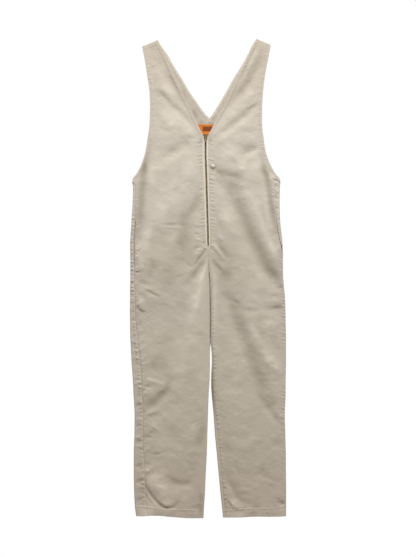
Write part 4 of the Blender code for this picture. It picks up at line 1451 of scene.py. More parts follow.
@cache
def weave_group() -> Tree:
    """Ribs of a weave with uneven yarns: their height, and how light each spot is.

    Returns:
        The node group.
    """
    tree = new_group(
        "weave", "ShaderNodeTree",
        {"Vector": ("NodeSocketVector", None), "Rib Scale": ("NodeSocketFloat", 350.0),
         "Rib Turn": ("NodeSocketVector", (0.0, 0.0, 1.0))},
        {"Height": "NodeSocketFloat", "Shade": "NodeSocketFloat"})
    graph = Graph(tree)
    given = graph.add("NodeGroupInput")
    turned = graph.add(
        "ShaderNodeMapping", {"Vector": given.outputs["Vector"], "Rotation": given.outputs["Rib Turn"]})
    ribs = graph.add(
        "ShaderNodeTexWave",
        {"Vector": turned.outputs[0], "Scale": given.outputs["Rib Scale"], "Distortion": 1.2, "Detail": 1.0,
         "Detail Scale": 1.5})
    warp = graph.add("ShaderNodeMapping", {"Vector": given.outputs["Vector"], "Scale": (900.0, 90.0, 1.0)})
    slubs = graph.add("ShaderNodeTexNoise", {"Vector": warp.outputs[0], "Scale": 1.0, "Detail": 2.0})
    height = graph.math("ADD", graph.math("MULTIPLY", ribs.outputs["Fac"], 0.7),
                        graph.math("MULTIPLY", slubs.outputs["Fac"], 0.6))
    shade = graph.math("ADD", graph.math("MULTIPLY", ribs.outputs["Fac"], 0.35),
                       graph.math("MULTIPLY", slubs.outputs["Fac"], 0.65))
    graph.add("NodeGroupOutput", {"Height": height, "Shade": shade})
    return tree


@cache
def mottle_group() -> Tree:
    """Washed unevenness of a finish at three sizes, about 0.

    Returns:
        The node group.
    """
    tree = new_group(
        "mottle", "ShaderNodeTree", {"Vector": ("NodeSocketVector", None)}, {"Value": "NodeSocketFloat"})
    graph = Graph(tree)
    given = graph.add("NodeGroupInput")
    parts = []
    for scale, weight in ((14.0, 0.4), (75.0, 0.35), (420.0, 0.25)):
        noise = graph.add(
            "ShaderNodeTexNoise",
            {"Vector": given.outputs["Vector"], "Scale": scale, "Detail": 2.0, "Roughness": 0.55})
        centred = graph.math("SUBTRACT", noise.outputs["Fac"], 0.5)
        parts.append(graph.math("MULTIPLY", centred, 2.0 * weight))
    total = graph.math("ADD", graph.math("ADD", parts[0], parts[1]), parts[2])
    graph.add("NodeGroupOutput", {"Value": total})
    return tree


def new_material(name: str) -> tuple[bpy.types.Material, Graph]:
    """A material with an empty node tree.

    Args:
        name: The material's name.

    Returns:
        The material and its tree.
    """
    made = bpy.data.materials.new(name)
    made.use_nodes = True
    return made, Graph(made.node_tree)


SHADE_TINT = (0.95, 1.0, 1.1)  # how much of a tone reaches red, green and blue, so painted shade is warmer and painted light paler
WEAVE_TONE = 0.14  # how much lighter or darker the ribs of a weave are
CRINKLE_DEPTH = 0.36  # depth of the finest crinkles, in mm


def colour_with_painted_shade(graph: Graph, colour: Colour | Socket, tone: Socket) -> Socket:
    """A colour made lighter or darker by a tone: painted light and shade, mottle and weave.

    Args:
        graph: The material's tree.
        colour: The colour.
        tone: The tone.

    Returns:
        The changed colour.
    """
    change = graph.add("ShaderNodeVectorMath", {0: SHADE_TINT, "Scale": tone}, operation="SCALE")
    factor = graph.add("ShaderNodeVectorMath", {0: change.outputs[0], 1: (1.0, 1.0, 1.0)}, operation="ADD")
    node = graph.add("ShaderNodeVectorMath", {0: colour, 1: factor.outputs[0]}, operation="MULTIPLY")
    return node.outputs[0]


@dataclass(frozen=True)
class ClothFinish:
    """A woven cloth.

    Attributes:
        name: The material's name.
        slot: Its material slot; not used.
        colour: Base colour.
        rib_pitch: Distance between the ribs of the weave, in mm.
        rib_turn: Their slant in degrees.
        depth: How deep the weave is, in mm.
        roughness: Roughness of the fibres.
        sheen: How much the nap catches light at a slant.
        mottle: How uneven the washed colour is.
        patch: Colour of a plain woven block, or None.
        height_colours: The colour at heights in metres, from the hems up, which changes in lightness and
            hue, or nothing.
    """
    name: str
    slot: str
    colour: Colour
    rib_pitch: float
    rib_turn: float
    depth: float
    roughness: float
    sheen: float
    mottle: float
    patch: Colour | None = None
    height_colours: tuple[tuple[float, Colour], ...] = ()

    @cache
    def material(self) -> bpy.types.Material:
        """Build the material, once.

        Returns:
            The material.
        """
        made, graph = new_material(self.name)
        place = graph.add("ShaderNodeUVMap", uv_map="cloth").outputs[0]
        weave = graph.add("ShaderNodeGroup", node_tree=weave_group())
        graph.tree.links.new(place, weave.inputs["Vector"])
        weave.inputs["Rib Scale"].default_value = WAVE_PERIOD / (self.rib_pitch * MM)
        weave.inputs["Rib Turn"].default_value = (0.0, 0.0, math.radians(self.rib_turn))
        mottle = graph.add("ShaderNodeGroup", node_tree=mottle_group())
        graph.tree.links.new(place, mottle.inputs["Vector"])
        tone = graph.add("ShaderNodeAttribute", attribute_name="tone").outputs["Fac"]
        uneven = graph.math("MULTIPLY", mottle.outputs[0], self.mottle)
        shade = graph.math("MULTIPLY", graph.math("SUBTRACT", weave.outputs["Shade"], 0.5), WEAVE_TONE)
        # painted light and shade from the tone attribute, with the cloth's mottle and weave
        wear_and_shade = graph.math("ADD", graph.math("ADD", tone, uneven), shade)
        crinkle = graph.add(
            "ShaderNodeTexNoise", {"Vector": place, "Scale": 160.0, "Detail": 3.0, "Roughness": 0.5})
        fine = graph.math("MULTIPLY", weave.outputs["Height"], self.depth * MM)
        coarse = graph.math("MULTIPLY", crinkle.outputs["Fac"], CRINKLE_DEPTH * MM)
        height = graph.math("ADD", fine, coarse)
        bump = graph.add("ShaderNodeBump", {"Height": height, "Strength": 1.0, "Distance": 1.0})
        shader = graph.add(
            "ShaderNodeBsdfPrincipled",
            {"Base Color": colour_with_painted_shade(graph, self._base(graph), wear_and_shade), "Roughness": self.roughness,
             "Sheen Weight": self.sheen, "Sheen Roughness": 0.45, "Specular IOR Level": 0.25,
             "Normal": bump.outputs[0]})
        graph.add("ShaderNodeOutputMaterial", {"Surface": shader.outputs[0]})
        return made

    def _base(self, graph: Graph) -> Colour | Socket:
        """The plain colour, with a woven block where the finish has one.

        Args:
            graph: The material's tree.

        Returns:
            The colour, or the socket that gives it.
        """
        if self.height_colours:
            return self._height_colour(graph)
        if self.patch is None:
            return self.colour
        block = graph.add("ShaderNodeAttribute", attribute_name="block").outputs["Fac"]
        blend = graph.add(
            "ShaderNodeMix", {"Factor": block, "A": (*self.colour, 1.0), "B": (*self.patch, 1.0)},
            data_type="RGBA")
        return blend.outputs["Result"]

    def _height_colour(self, graph: Graph) -> Socket:
        """The colour, which changes a little in lightness and hue down the garment.

        Args:
            graph: The material's tree.

        Returns:
            The socket that gives the colour.
        """
        low, high = self.height_colours[0][0], self.height_colours[-1][0]
        place = graph.add("ShaderNodeUVMap", uv_map="cloth").outputs[0]
        height = graph.add("ShaderNodeSeparateXYZ", {"Vector": place}).outputs["Y"]
        share = graph.add("ShaderNodeMapRange", {"Value": height, "From Min": low, "From Max": high})
        ramp = graph.add("ShaderNodeValToRGB", {"Fac": share.outputs[0]})
        stops = ramp.color_ramp.elements
        while len(stops) < len(self.height_colours):
            stops.new(0.5)
        for stop, (y, colour) in zip(stops, self.height_colours):
            stop.position = (y - low) / (high - low)
            stop.color = (*colour, 1.0)
        return ramp.outputs["Color"]


@dataclass(frozen=True)
class MetalFinish:
    """A metal with wear, rubbed bright in places and tarnished in others.

    Attributes:
        name: The material's name.
        slot: Its material slot; not used.
        bright: Colour where it is rubbed.
        dark: Colour where it is tarnished.
        tarnish: Share of it that is tarnished.
        roughness: Roughness where it is rubbed.
    """
    name: str
    slot: str
    bright: Colour
    dark: Colour
    tarnish: float
    roughness: float

    @cache
    def material(self) -> bpy.types.Material:
        """Build the material, once.

        Returns:
            The material.
        """
        made, graph = new_material(self.name)
        place = graph.add("ShaderNodeTexCoord").outputs["Object"]
        spots = graph.add(
            "ShaderNodeTexNoise", {"Vector": place, "Scale": 520.0, "Detail": 4.0, "Roughness": 0.65})
        wear_and_shade = graph.math("SUBTRACT", graph.math("ADD", spots.outputs["Fac"], 0.5), self.tarnish)
        wear_and_shade = graph.add("ShaderNodeMath", {0: wear_and_shade, 1: 1.0}, operation="MULTIPLY", use_clamp=True)
        blend = graph.add(
            "ShaderNodeMix", {"Factor": wear_and_shade.outputs[0], "A": (*self.dark, 1.0), "B": (*self.bright, 1.0)},
            data_type="RGBA")
        grain = graph.add("ShaderNodeTexNoise", {"Vector": place, "Scale": 3500.0, "Detail": 2.0})
        bump = graph.add(
            "ShaderNodeBump", {"Height": grain.outputs["Fac"], "Strength": 1.0, "Distance": 0.00002})
        smoother = graph.math("MULTIPLY", wear_and_shade.outputs[0], 0.2)
        rough = graph.math("SUBTRACT", self.roughness + 0.2, smoother)
        shader = graph.add(
            "ShaderNodeBsdfPrincipled",
            {"Base Color": blend.outputs["Result"], "Metallic": 1.0, "Roughness": rough,
             "Normal": bump.outputs[0]})
        graph.add("ShaderNodeOutputMaterial", {"Surface": shader.outputs[0]})
        return made


# Colours of the twill at heights in metres, from the hems up.
TWILL_HEIGHT_COLOURS = (
    (-0.62, (0.621, 0.520, 0.400)),
    (-0.48, (0.615, 0.524, 0.399)),
    (-0.25, (0.634, 0.546, 0.425)),
    (-0.08, (0.603, 0.516, 0.406)),
    (0.07, (0.588, 0.505, 0.395)),
    (0.23, (0.634, 0.553, 0.443)),
    (0.42, (0.634, 0.550, 0.440)),
    (0.62, (0.603, 0.515, 0.399)),
)
TWILL = ClothFinish(
    "ecru twill", "twill", (0.60, 0.535, 0.44), 0.9, 63.0, 0.05, 0.88, 0.12, 0.085, height_colours=TWILL_HEIGHT_COLOURS)
POCKETING = ClothFinish("pocketing", "pocketing", (0.68, 0.61, 0.50), 0.5, 0.0, 0.03, 0.9, 0.05, 0.04)
TAPE = ClothFinish("zip tape", "tape", (0.765, 0.68, 0.56), 1.1, 90.0, 0.06, 0.8, 0.08, 0.03)
THREAD = ClothFinish("thread", "twill", (0.64, 0.56, 0.45), 0.3, 45.0, 0.02, 0.7, 0.1, 0.03)
ORANGE = ClothFinish(
    "orange label", "label", (0.70, 0.195, 0.028), 0.45, 0.0, 0.03, 0.6, 0.0, 0.05, (0.235, 0.055, 0.01))
DARK_BRASS = MetalFinish("dark brass", "brass_dark", (0.56, 0.40, 0.18), (0.15, 0.105, 0.055), 0.55, 0.38)
SLIDER_BRASS = MetalFinish("slider brass", "brass_dark", (0.42, 0.33, 0.2), (0.14, 0.11, 0.07), 0.7, 0.4)
GOLD_BRASS = MetalFinish("gold brass", "brass_gold", (0.52, 0.37, 0.14), (0.24, 0.15, 0.055), 0.4, 0.32)


# ---- Making pieces ----
BODY = "garment"  # every new piece rides on it
SHARP_ANGLE = math.radians(55.0)  # an edge bent more than this is shaded as sharp


def grid_mesh(name: str, points: Array, tone: Array | None = None) -> Mesh:
    """An open grid that faces up as a mesh, with its cloth coordinates and tones.

    Args:
        name: The mesh's name.
        points: Rows and columns of points, in mm.
        tone: How much lighter or darker each point is, or None for the plain colour.

    Returns:
        The mesh.
    """
    quads = grid_quads(np.arange(points[..., 0].size).reshape(points.shape[:2]))
    flat = points.reshape(-1, 3) * MM
    first = np.cross(flat[quads[:, 2]] - flat[quads[:, 0]], flat[quads[:, 3]] - flat[quads[:, 1]])
    if first[:, 2].sum() < 0.0:
        quads = quads[:, ::-1]
    mesh = bpy.data.meshes.new(name)
    mesh.from_pydata(flat.tolist(), [], quads.tolist())
    add_cloth_data(mesh, flat[:, :2], np.zeros(len(flat)) if tone is None else tone.ravel())
    return mesh


def shell_mesh(name: str, surface: PanelSurface, step: int) -> Mesh:
    """A panel's wall as a closed mesh, with its cloth coordinates and tones.

    Args:
        name: The mesh's name.
        surface: The panel.
        step: How much coarser its inner face is.

    Returns:
        The mesh.
    """
    wall = surface.wall(step)
    pick = np.ix_(wall.rows, wall.columns)
    points = np.concatenate([wall.outer.reshape(-1, 3), wall.inner.reshape(-1, 3)]) * MM
    uv = np.concatenate([surface.uv.reshape(-1, 2), surface.uv[pick].reshape(-1, 2)])
    tone = np.concatenate([surface.tone.ravel(), wall.inner_tone.ravel()])
    mesh = bpy.data.meshes.new(name)
    mesh.from_pydata(points.tolist(), [], wall.faces())
    add_cloth_data(mesh, uv, tone)
    work = bmesh.new()
    work.from_mesh(mesh)
    bmesh.ops.recalc_face_normals(work, faces=work.faces)
    work.to_mesh(mesh)
    work.free()
    mesh.shade_smooth()
    mesh.set_sharp_from_angle(angle=SHARP_ANGLE)
    return mesh


def add_cloth_data(mesh: Mesh, uv: Array, tone: Array) -> None:
    """Give a mesh its cloth coordinates and tones, one for each of its points.

    Args:
        mesh: The mesh.
        uv: The coordinates, in metres.
        tone: The tones.
    """
    layer = mesh.uv_layers.new(name="cloth")
    corners = np.zeros(len(mesh.loops), int)
    mesh.loops.foreach_get("vertex_index", corners)
    layer.data.foreach_set("uv", uv[corners].astype(np.float32).ravel())
    tones = mesh.attributes.new("tone", "FLOAT", "POINT")
    tones.data.foreach_set("value", tone.astype(np.float32).ravel())


def evaluated_mesh(guide: Object, name: str) -> Mesh:
    """The mesh of an object with its modifiers applied; the object is removed.

    Args:
        guide: The object.
        name: The mesh's name.

    Returns:
        The mesh.
    """
    bpy.context.view_layer.update()
    graph = bpy.context.evaluated_depsgraph_get()
    mesh = bpy.data.meshes.new_from_object(guide.evaluated_get(graph))
    mesh.name = name
    bpy.data.objects.remove(guide, do_unlink=True)
    return mesh


def linked_object(name: str, data: Any) -> Object:
    """A mesh, light or camera as an object of the scene.

    Args:
        name: The object's name.
        data: What it shows.

    Returns:
        The object.
    """
    made = bpy.data.objects.new(name, data)
    bpy.context.scene.collection.objects.link(made)
    return made


def add_piece(name: str, mesh: Mesh, finish: ClothFinish | MetalFinish) -> Object:
    """A finished piece of the garment.

    Args:
        name: The piece's name.
        mesh: Its mesh, in place.
        finish: Its finish.

    Returns:
        The piece.
    """
    piece = linked_object(name, mesh)
    mesh.materials.clear()
    mesh.materials.append(finish.material())
    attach(piece, BODY)
    LOG.info("%s: %d faces", name, len(mesh.polygons))
    return piece


def walled_mesh(name: str, mesh: Mesh, thickness: float) -> Mesh:
    """An open grid thickened away from the side it faces.

    Args:
        name: The wall's name.
        mesh: The grid.
        thickness: The wall's thickness, in mm.

    Returns:
        The closed mesh.
    """
    guide = linked_object(name + "_guide", mesh)
    wall = guide.modifiers.new("Wall", "SOLIDIFY")
    wall.thickness = thickness * MM
    wall.offset = -1.0
    made = evaluated_mesh(guide, name)
    made.shade_smooth()
    made.set_sharp_from_angle(angle=SHARP_ANGLE)
    return made


# ---- The panels ----
@dataclass
class Panels:
    """The two fronts and the two backs, each from strap to hem in one piece."""
    front_pitch: float = 1.5
    back_pitch: float = 1.9
    hem_pitch: float = 1.1
    front_step: int = 3
    back_step: int = 2

    def __post_init__(self) -> None:
        """Work out the four surfaces."""
        self.surfaces: dict[tuple[Layer, str], PanelSurface] = {}
        for half in HALVES:
            self.surfaces[Layer.FRONT, half.name] = PanelSurface(
                half, Layer.FRONT, self.front_pitch, self.hem_pitch, edge_steps=14, edge_zone=14.0,
                middle=52)
            self.surfaces[Layer.BACK, half.name] = PanelSurface(
                half, Layer.BACK, self.back_pitch, self.back_pitch, edge_steps=16, edge_zone=8.0,
                middle=44)

    def build(self) -> None:
        """Build the four panels as thin walls of twill."""
        for (layer, side), surface in self.surfaces.items():
            node = layer.value + "_" + side
            step = self.front_step if layer is Layer.FRONT else self.back_step
            piece = add_piece(node + "_cloth", shell_mesh(node + "_cloth", surface, step), TWILL)
            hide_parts(node)


# ---- Inside the back neck ----
@dataclass
class BackNeck:
    """The turned edges inside the back neck, and the label."""
    facing_width: float = 8.0
    facing_edge: float = 0.5
    facing_cut: float = 11.0  # with what is turned under
    facing_thick: float = 0.6
    facing_rows: int = 120
    facing_columns: int = 8
    facing_top_y: float = 662.0
    facing_wall: float = 0.45
    facing_roll: Swell = Swell(0.2, 2.6, 2.6)
    facing_dip: Swell = Swell(-0.4, 8.0, 2.4)
    facing_light: float = 0.14
    facing_shade: Swell = Swell(-0.28, 0.5, 1.2)
    pucker: float = 0.2
    pucker_pitch: float = 11.0
    pucker_seed: int = 40
    pucker_start: Ramp = Ramp(2.5, 3.0)
    mitre: float = 12.0
    relief: float = 0.3  # how far each lies below its solid's top, and may pass it
    label_top_y: float = 446.6
    label_height: float = 30.0
    label_width: float = 60.0
    label_x: float = -5.9
    label_thick: float = 1.0
    label_wall: float = 0.6
    label_cells: tuple[int, int] = (60, 120)
    label_edges: tuple[Swell, Swell] = (Swell(0.3, 1.6, 1.0), Swell(-0.15, 0.0, 0.6))
    label_shade: Swell = Swell(-0.45, 0.0, 0.7)
    block_blur: float = 0.5
    block_low: Point = (-16.0, 426.0)
    block_high: Point = (14.5, 440.5)

    def build(self) -> list[StitchLine]:
        """Build the facings and the label.

        Returns:
            The lines that the facings' stitches follow.
        """
        lines = [self._facing(half) for half in HALVES]
        self._label()
        return lines

    def _facing(self, half: Half) -> StitchLine:
        """One turned edge, mitred at the centre, with its stitching line.

        Args:
            half: The side of the garment.

        Returns:
            The line.
        """
        high_z = CLOTH + LAY_GAP + self.facing_thick
        top = np.array([float(read(BACK_CENTRES, half.name, self.facing_top_y)), self.facing_top_y])
        tip = np.array([float(read(BACK_CENTRES, half.name, BACK_NECK_Y)), BACK_NECK_Y])
        along = (tip - top) / np.linalg.norm(tip - top)
        outward = np.array([along[1], -along[0]]) * -half.sign
        if outward[1] > 0.0:
            outward = -outward
        heights = np.linspace(self.facing_top_y, BACK_NECK_Y, self.facing_rows + 1)
        reaches = np.linspace(self.facing_edge, self.facing_width, self.facing_columns + 1)
        edge_x = read(BACK_CENTRES, half.name, heights)
        tip_share = Ramp(BACK_NECK_Y + self.mitre, -self.mitre).at(heights)[:, None]
        x = edge_x[:, None] + outward[0] * reaches * (1.0 - tip_share)
        y = heights[:, None] + mix(outward[1], -abs(1.0 / outward[1]), tip_share) * reaches
        roll = self.facing_roll.at(reaches) + self.facing_dip.at(reaches)
        ridges = ticks(heights - BACK_NECK_Y, self.pucker_pitch, self.pucker_seed + half.sign)[:, None]
        wave = self.pucker * ridges * self.pucker_start.at(reaches)
        height, tone = crease_relief(NECK_CREASES, x, y)
        raised = roll[None, :] + wave + np.maximum(height, 0.0)
        z = np.minimum(high_z - self.relief + raised, high_z + self.relief)
        tone = tone + self.facing_light + self.facing_shade.at(reaches)
        points = np.stack([x, y, z * np.ones_like(x)], axis=-1)
        node = "neck_facing_" + half.name
        mesh = grid_mesh(node + "_grid", points, tone)
        piece = add_piece(node + "_cloth", walled_mesh(node + "_cloth", mesh, self.facing_wall), TWILL)
        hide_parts(node)
        middle = self.facing_columns * 3 // 4
        return StitchLine(points[3:-6, middle], np.tile([0.0, 0.0, 1.0], (len(heights) - 9, 1)))

    def _label(self) -> None:
        """The plain orange label with a plain woven block."""
        rows, columns = self.label_cells
        x = self.label_x + self.label_width * (np.arange(columns + 1) / columns - 0.5)
        y = self.label_top_y - self.label_height * np.arange(rows + 1) / rows
        x, y = np.meshgrid(x, y)
        edge = np.minimum.reduce([x - x.min(), x.max() - x, y - y.min(), y.max() - y])
        high_z = CLOTH + LAY_GAP + self.label_thick
        z = high_z - self.relief + sum(swell.at(edge) for swell in self.label_edges)
        inside = np.ones(x.shape)
        for place, low, high in zip((x, y), self.block_low, self.block_high):
            inside *= Ramp(low, self.block_blur).at(place) * Ramp(high, -self.block_blur).at(place)
        mesh = grid_mesh("neck_label_grid", np.stack([x, y, z], axis=-1), self.label_shade.at(edge))
        block = mesh.attributes.new("block", "FLOAT", "POINT")
        block.data.foreach_set("value", inside.astype(np.float32).ravel())
        piece = add_piece(
            "neck_label_cloth", walled_mesh("neck_label_cloth", mesh, self.label_wall), ORANGE)
        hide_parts("neck_label")


# ---- Pockets ----
@dataclass
class Pockets:
    """The pocket bags that hang inside the side seams, between front and back."""
    top_y: float = 186.0
    bottom_y: float = -74.0
    reach: float = 150.0
    edge: float = 6.0
    corner: float = 62.0
    thick: float = 1.6
    wall: float = 1.3
    fullness: float = 1.02  # how much wider each is cut than it lies
    slack: Wave = Wave(0.25, 22.0, 51)
    rows: int = 64
    columns: int = 30

    def build(self) -> None:
        """Build both bags."""
        for half in HALVES:
            node = "pocket_bag_" + half.name
            y = np.linspace(self.top_y, self.bottom_y, self.rows + 1)
            outer = read(SECTIONS, half.name + "_side", y) - half.sign * self.edge
            inner = outer[0] - half.sign * self.reach
            from_end = np.minimum(self.top_y - y, y - self.bottom_y)
            short = np.clip(1.0 - from_end / self.corner, 0.0, 1.0)
            inner = inner + half.sign * self.corner * (1.0 - np.sqrt(1.0 - short ** 2))
            shares = np.linspace(0.0, 1.0, self.columns + 1)
            x = mix(outer[:, None], inner[:, None], shares)
            y = np.repeat(y[:, None], self.columns + 1, axis=1)
            high_z = CLOTH + LAY_GAP + self.thick
            z = high_z - (self.slack.height - self.slack.at(x, y)) / 2.0
            mesh = grid_mesh(node + "_grid", np.stack([x, y, z], axis=-1))
            piece = add_piece(node + "_cloth", walled_mesh(node + "_cloth", mesh, self.wall), POCKETING)
            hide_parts(node)


# ---- Geometry node trees ----
def row_tree(name: str, sizes: dict[str, float]) -> tuple[Tree, Graph, Any]:
    """A geometry tree with named size inputs, started from its group input.

    Args:
        name: The tree's name.
        sizes: The default of each size input.

    Returns:
        The tree, its graph and its group input.
    """
    inputs = {"Geometry": ("NodeSocketGeometry", None)}
    inputs.update({label: ("NodeSocketFloat", value) for label, value in sizes.items()})
    inputs["Finish"] = ("NodeSocketMaterial", None)
    tree = new_group(name, "GeometryNodeTree", inputs, {"Geometry": "NodeSocketGeometry"})
    graph = Graph(tree)
    return tree, graph, graph.add("NodeGroupInput")


def set_along(graph: Graph, given: Any, shape: Socket) -> None:
    """Set a shape along the given lines at the pitch, its X along them and its Z off the cloth.

    Args:
        graph: The tree's graph.
        given: Its group input.
        shape: The shape.
    """
    curve = graph.add("GeometryNodeMeshToCurve", {"Mesh": given.outputs["Geometry"]})
    spaced = graph.add(
        "GeometryNodeResampleCurve", {"Curve": curve.outputs[0], "Length": given.outputs["Pitch"]},
        mode="LENGTH")
    out = graph.add("GeometryNodeInputNamedAttribute", {"Name": "out"}, data_type="FLOAT_VECTOR")
    tangent = graph.add("GeometryNodeInputTangent")
    first = graph.add("FunctionNodeAlignRotationToVector", {"Vector": tangent.outputs[0]}, axis="X")
    second = graph.add(
        "FunctionNodeAlignRotationToVector", {"Rotation": first.outputs[0], "Vector": out.outputs[0]},
        axis="Z", pivot_axis="X")
    placed = graph.add(
        "GeometryNodeInstanceOnPoints",
        {"Points": spaced.outputs[0], "Instance": shape, "Rotation": second.outputs[0]})
    real = graph.add("GeometryNodeRealizeInstances", {"Geometry": placed.outputs[0]})
    smooth = graph.add("GeometryNodeSetShadeSmooth", {"Geometry": real.outputs[0]})
    dressed = graph.add(
        "GeometryNodeSetMaterial", {"Geometry": smooth.outputs[0], "Material": given.outputs["Finish"]})
    graph.add("NodeGroupOutput", {"Geometry": dressed.outputs[0]})


@cache
def stitch_tree() -> Tree:
    """Rows of stitches: each a small rounded length of thread.

    Returns:
        The tree.
    """
    tree, graph, given = row_tree(
        "stitch rows", {"Pitch": 3.2 * MM, "Length": 2.4 * MM, "Thread": 0.5 * MM})
    ball = graph.add("GeometryNodeMeshUVSphere", {"Segments": 6, "Rings": 4, "Radius": 0.5})
    size = graph.add(
        "ShaderNodeCombineXYZ",
        {"X": given.outputs["Length"], "Y": given.outputs["Thread"], "Z": given.outputs["Thread"]})
    shaped = graph.add(
        "GeometryNodeTransform", {"Geometry": ball.outputs["Mesh"], "Scale": size.outputs[0]})
    set_along(graph, given, shaped.outputs[0])
    return tree


@cache
def tooth_tree() -> Tree:
    """A row of zip teeth: each a flat bar with a rounded head that meets the other row.

    Returns:
        The tree.
    """
    tree, graph, given = row_tree(
        "zip teeth",
        {"Pitch": 1.9 * MM, "Reach": 2.6 * MM, "Width": 0.85 * MM, "Height": 2.0 * MM, "Way": 1.0})
    reach = given.outputs["Reach"]
    box_size = graph.add(
        "ShaderNodeCombineXYZ", {"X": given.outputs["Width"], "Y": reach, "Z": given.outputs["Height"]})
    bar = graph.add("GeometryNodeMeshCube", {"Size": box_size.outputs[0]})
    head = graph.add(
        "GeometryNodeMeshCylinder",
        {"Vertices": 8, "Radius": graph.math("MULTIPLY", given.outputs["Width"], 0.72),
         "Depth": graph.math("MULTIPLY", given.outputs["Height"], 0.7)})
    head_y = graph.math("MULTIPLY", graph.math("MULTIPLY", reach, 0.46), given.outputs["Way"])
    head_place = graph.add("ShaderNodeCombineXYZ", {"Y": head_y})
    moved = graph.add(
        "GeometryNodeTransform", {"Geometry": head.outputs["Mesh"], "Translation": head_place.outputs[0]})
    joined = graph.add("GeometryNodeJoinGeometry")
    graph.tree.links.new(moved.outputs[0], joined.inputs[0])
    graph.tree.links.new(bar.outputs["Mesh"], joined.inputs[0])
    set_along(graph, given, joined.outputs[0])
    return tree


def run_tree(name: str, lines: Sequence[StitchLine], tree: Tree,
             sizes: dict[str, float], finish: ClothFinish | MetalFinish) -> Mesh:
    """Set a tree's shapes along lines, as one plain mesh.

    Args:
        name: The mesh's name.
        lines: Lines with their normals, in mm.
        tree: The geometry tree.
        sizes: The tree's size inputs, in mm, or a plain number for Way.
        finish: The finish.

    Returns:
        The mesh.
    """
    points = np.concatenate([line.points for line in lines]) * MM
    normals = np.concatenate([line.normals for line in lines])
    edges, start = [], 0
    for line in lines:
        edges += [(start + step, start + step + 1) for step in range(len(line.points) - 1)]
        start += len(line.points)
    mesh = bpy.data.meshes.new(name + "_lines")
    mesh.from_pydata(points.tolist(), edges, [])
    out = mesh.attributes.new("out", "FLOAT_VECTOR", "POINT")
    out.data.foreach_set("vector", normals.astype(np.float32).ravel())
    guide = linked_object(name + "_guide", mesh)
    step = guide.modifiers.new("Rows", "NODES")
    step.node_group = tree
    for socket in tree.interface.items_tree:
        if socket.in_out == "INPUT" and socket.name in sizes:
            step[socket.identifier] = sizes[socket.name]
        if socket.in_out == "INPUT" and socket.name == "Finish":
            step[socket.identifier] = finish.material()
    return evaluated_mesh(guide, name)


# ---- Stitching ----
@dataclass
class Stitching:
    """The rows of stitches that show, lying on the cloth."""
    panels: Panels
    pitch: float = 3.3
    length: float = 2.5
    thread: float = 0.55
    sunk: float = 0.05
    neck_share: float = 0.7
    hem_offset: float = 0.5

    def build(self, facing_lines: list[StitchLine]) -> None:
        """Sew every seam.

        Args:
            facing_lines: Where the stitches inside the back neck run.
        """
        fronts = [self.panels.surfaces[Layer.FRONT, half.name] for half in HALVES]
        backs = [self.panels.surfaces[Layer.BACK, half.name] for half in HALVES]
        right, left = fronts
        rows = {
            "armhole_stitches": [f.line_along(Edge.SIDE, 7.5, 672, 292) for f in fronts],
            "neck_stitches": [f.line_along(Edge.CENTRE, 7.5, 684, 420) for f in fronts],
            "back_neck_stitches": facing_lines,
            "zip_stitches": [f.line_along(Edge.CENTRE, 7.0, 412, 100) for f in fronts],
            "centre_seam_stitches": [left.line_along(Edge.CENTRE, 5.0, 88, 14)],
            "side_seam_stitches": [backs[0].line_along(Edge.SIDE, 6.0, 262, -684),
                                   left.line_along(Edge.SIDE, 6.0, 262, -684),
                                   right.line_along(Edge.SIDE, 5.0, 172, 26)],
            "inseam_stitches": [left.line_along(Edge.CENTRE, 4.0, -40, -684)],
            "hem_stitches": [f.line_across(lambda x, h=f.half: hem_line(h, x) - self.hem_offset)
                             for f in fronts],
        }
        for name, lines in rows.items():
            self._sew(name, lines, self.neck_share if lines is facing_lines else 1.0)

    def _sew(self, name: str, lines: list[StitchLine], share: float) -> None:
        """One set of rows as a piece, its stitches a share of the usual size.

        Args:
            name: The piece's name.
            lines: Where the rows run.
            share: That share.
        """
        lifted = [StitchLine(line.points + line.normals * (self.thread * share / 2.0 - self.sunk),
                             line.normals) for line in lines]
        mesh = run_tree(
            name, lifted, stitch_tree(),
            {"Pitch": self.pitch * share * MM, "Length": self.length * share * MM,
             "Thread": self.thread * share * MM}, THREAD)
        add_piece(name, mesh, THREAD)


# ---- The zip ----
def zip_centre(y: Any) -> Array:
    """The middle line of the teeth: half way between the edges of the opening."""
    return (read(SECTIONS, "right_centre", y) + read(SECTIONS, "left_centre", y)) / 2.0


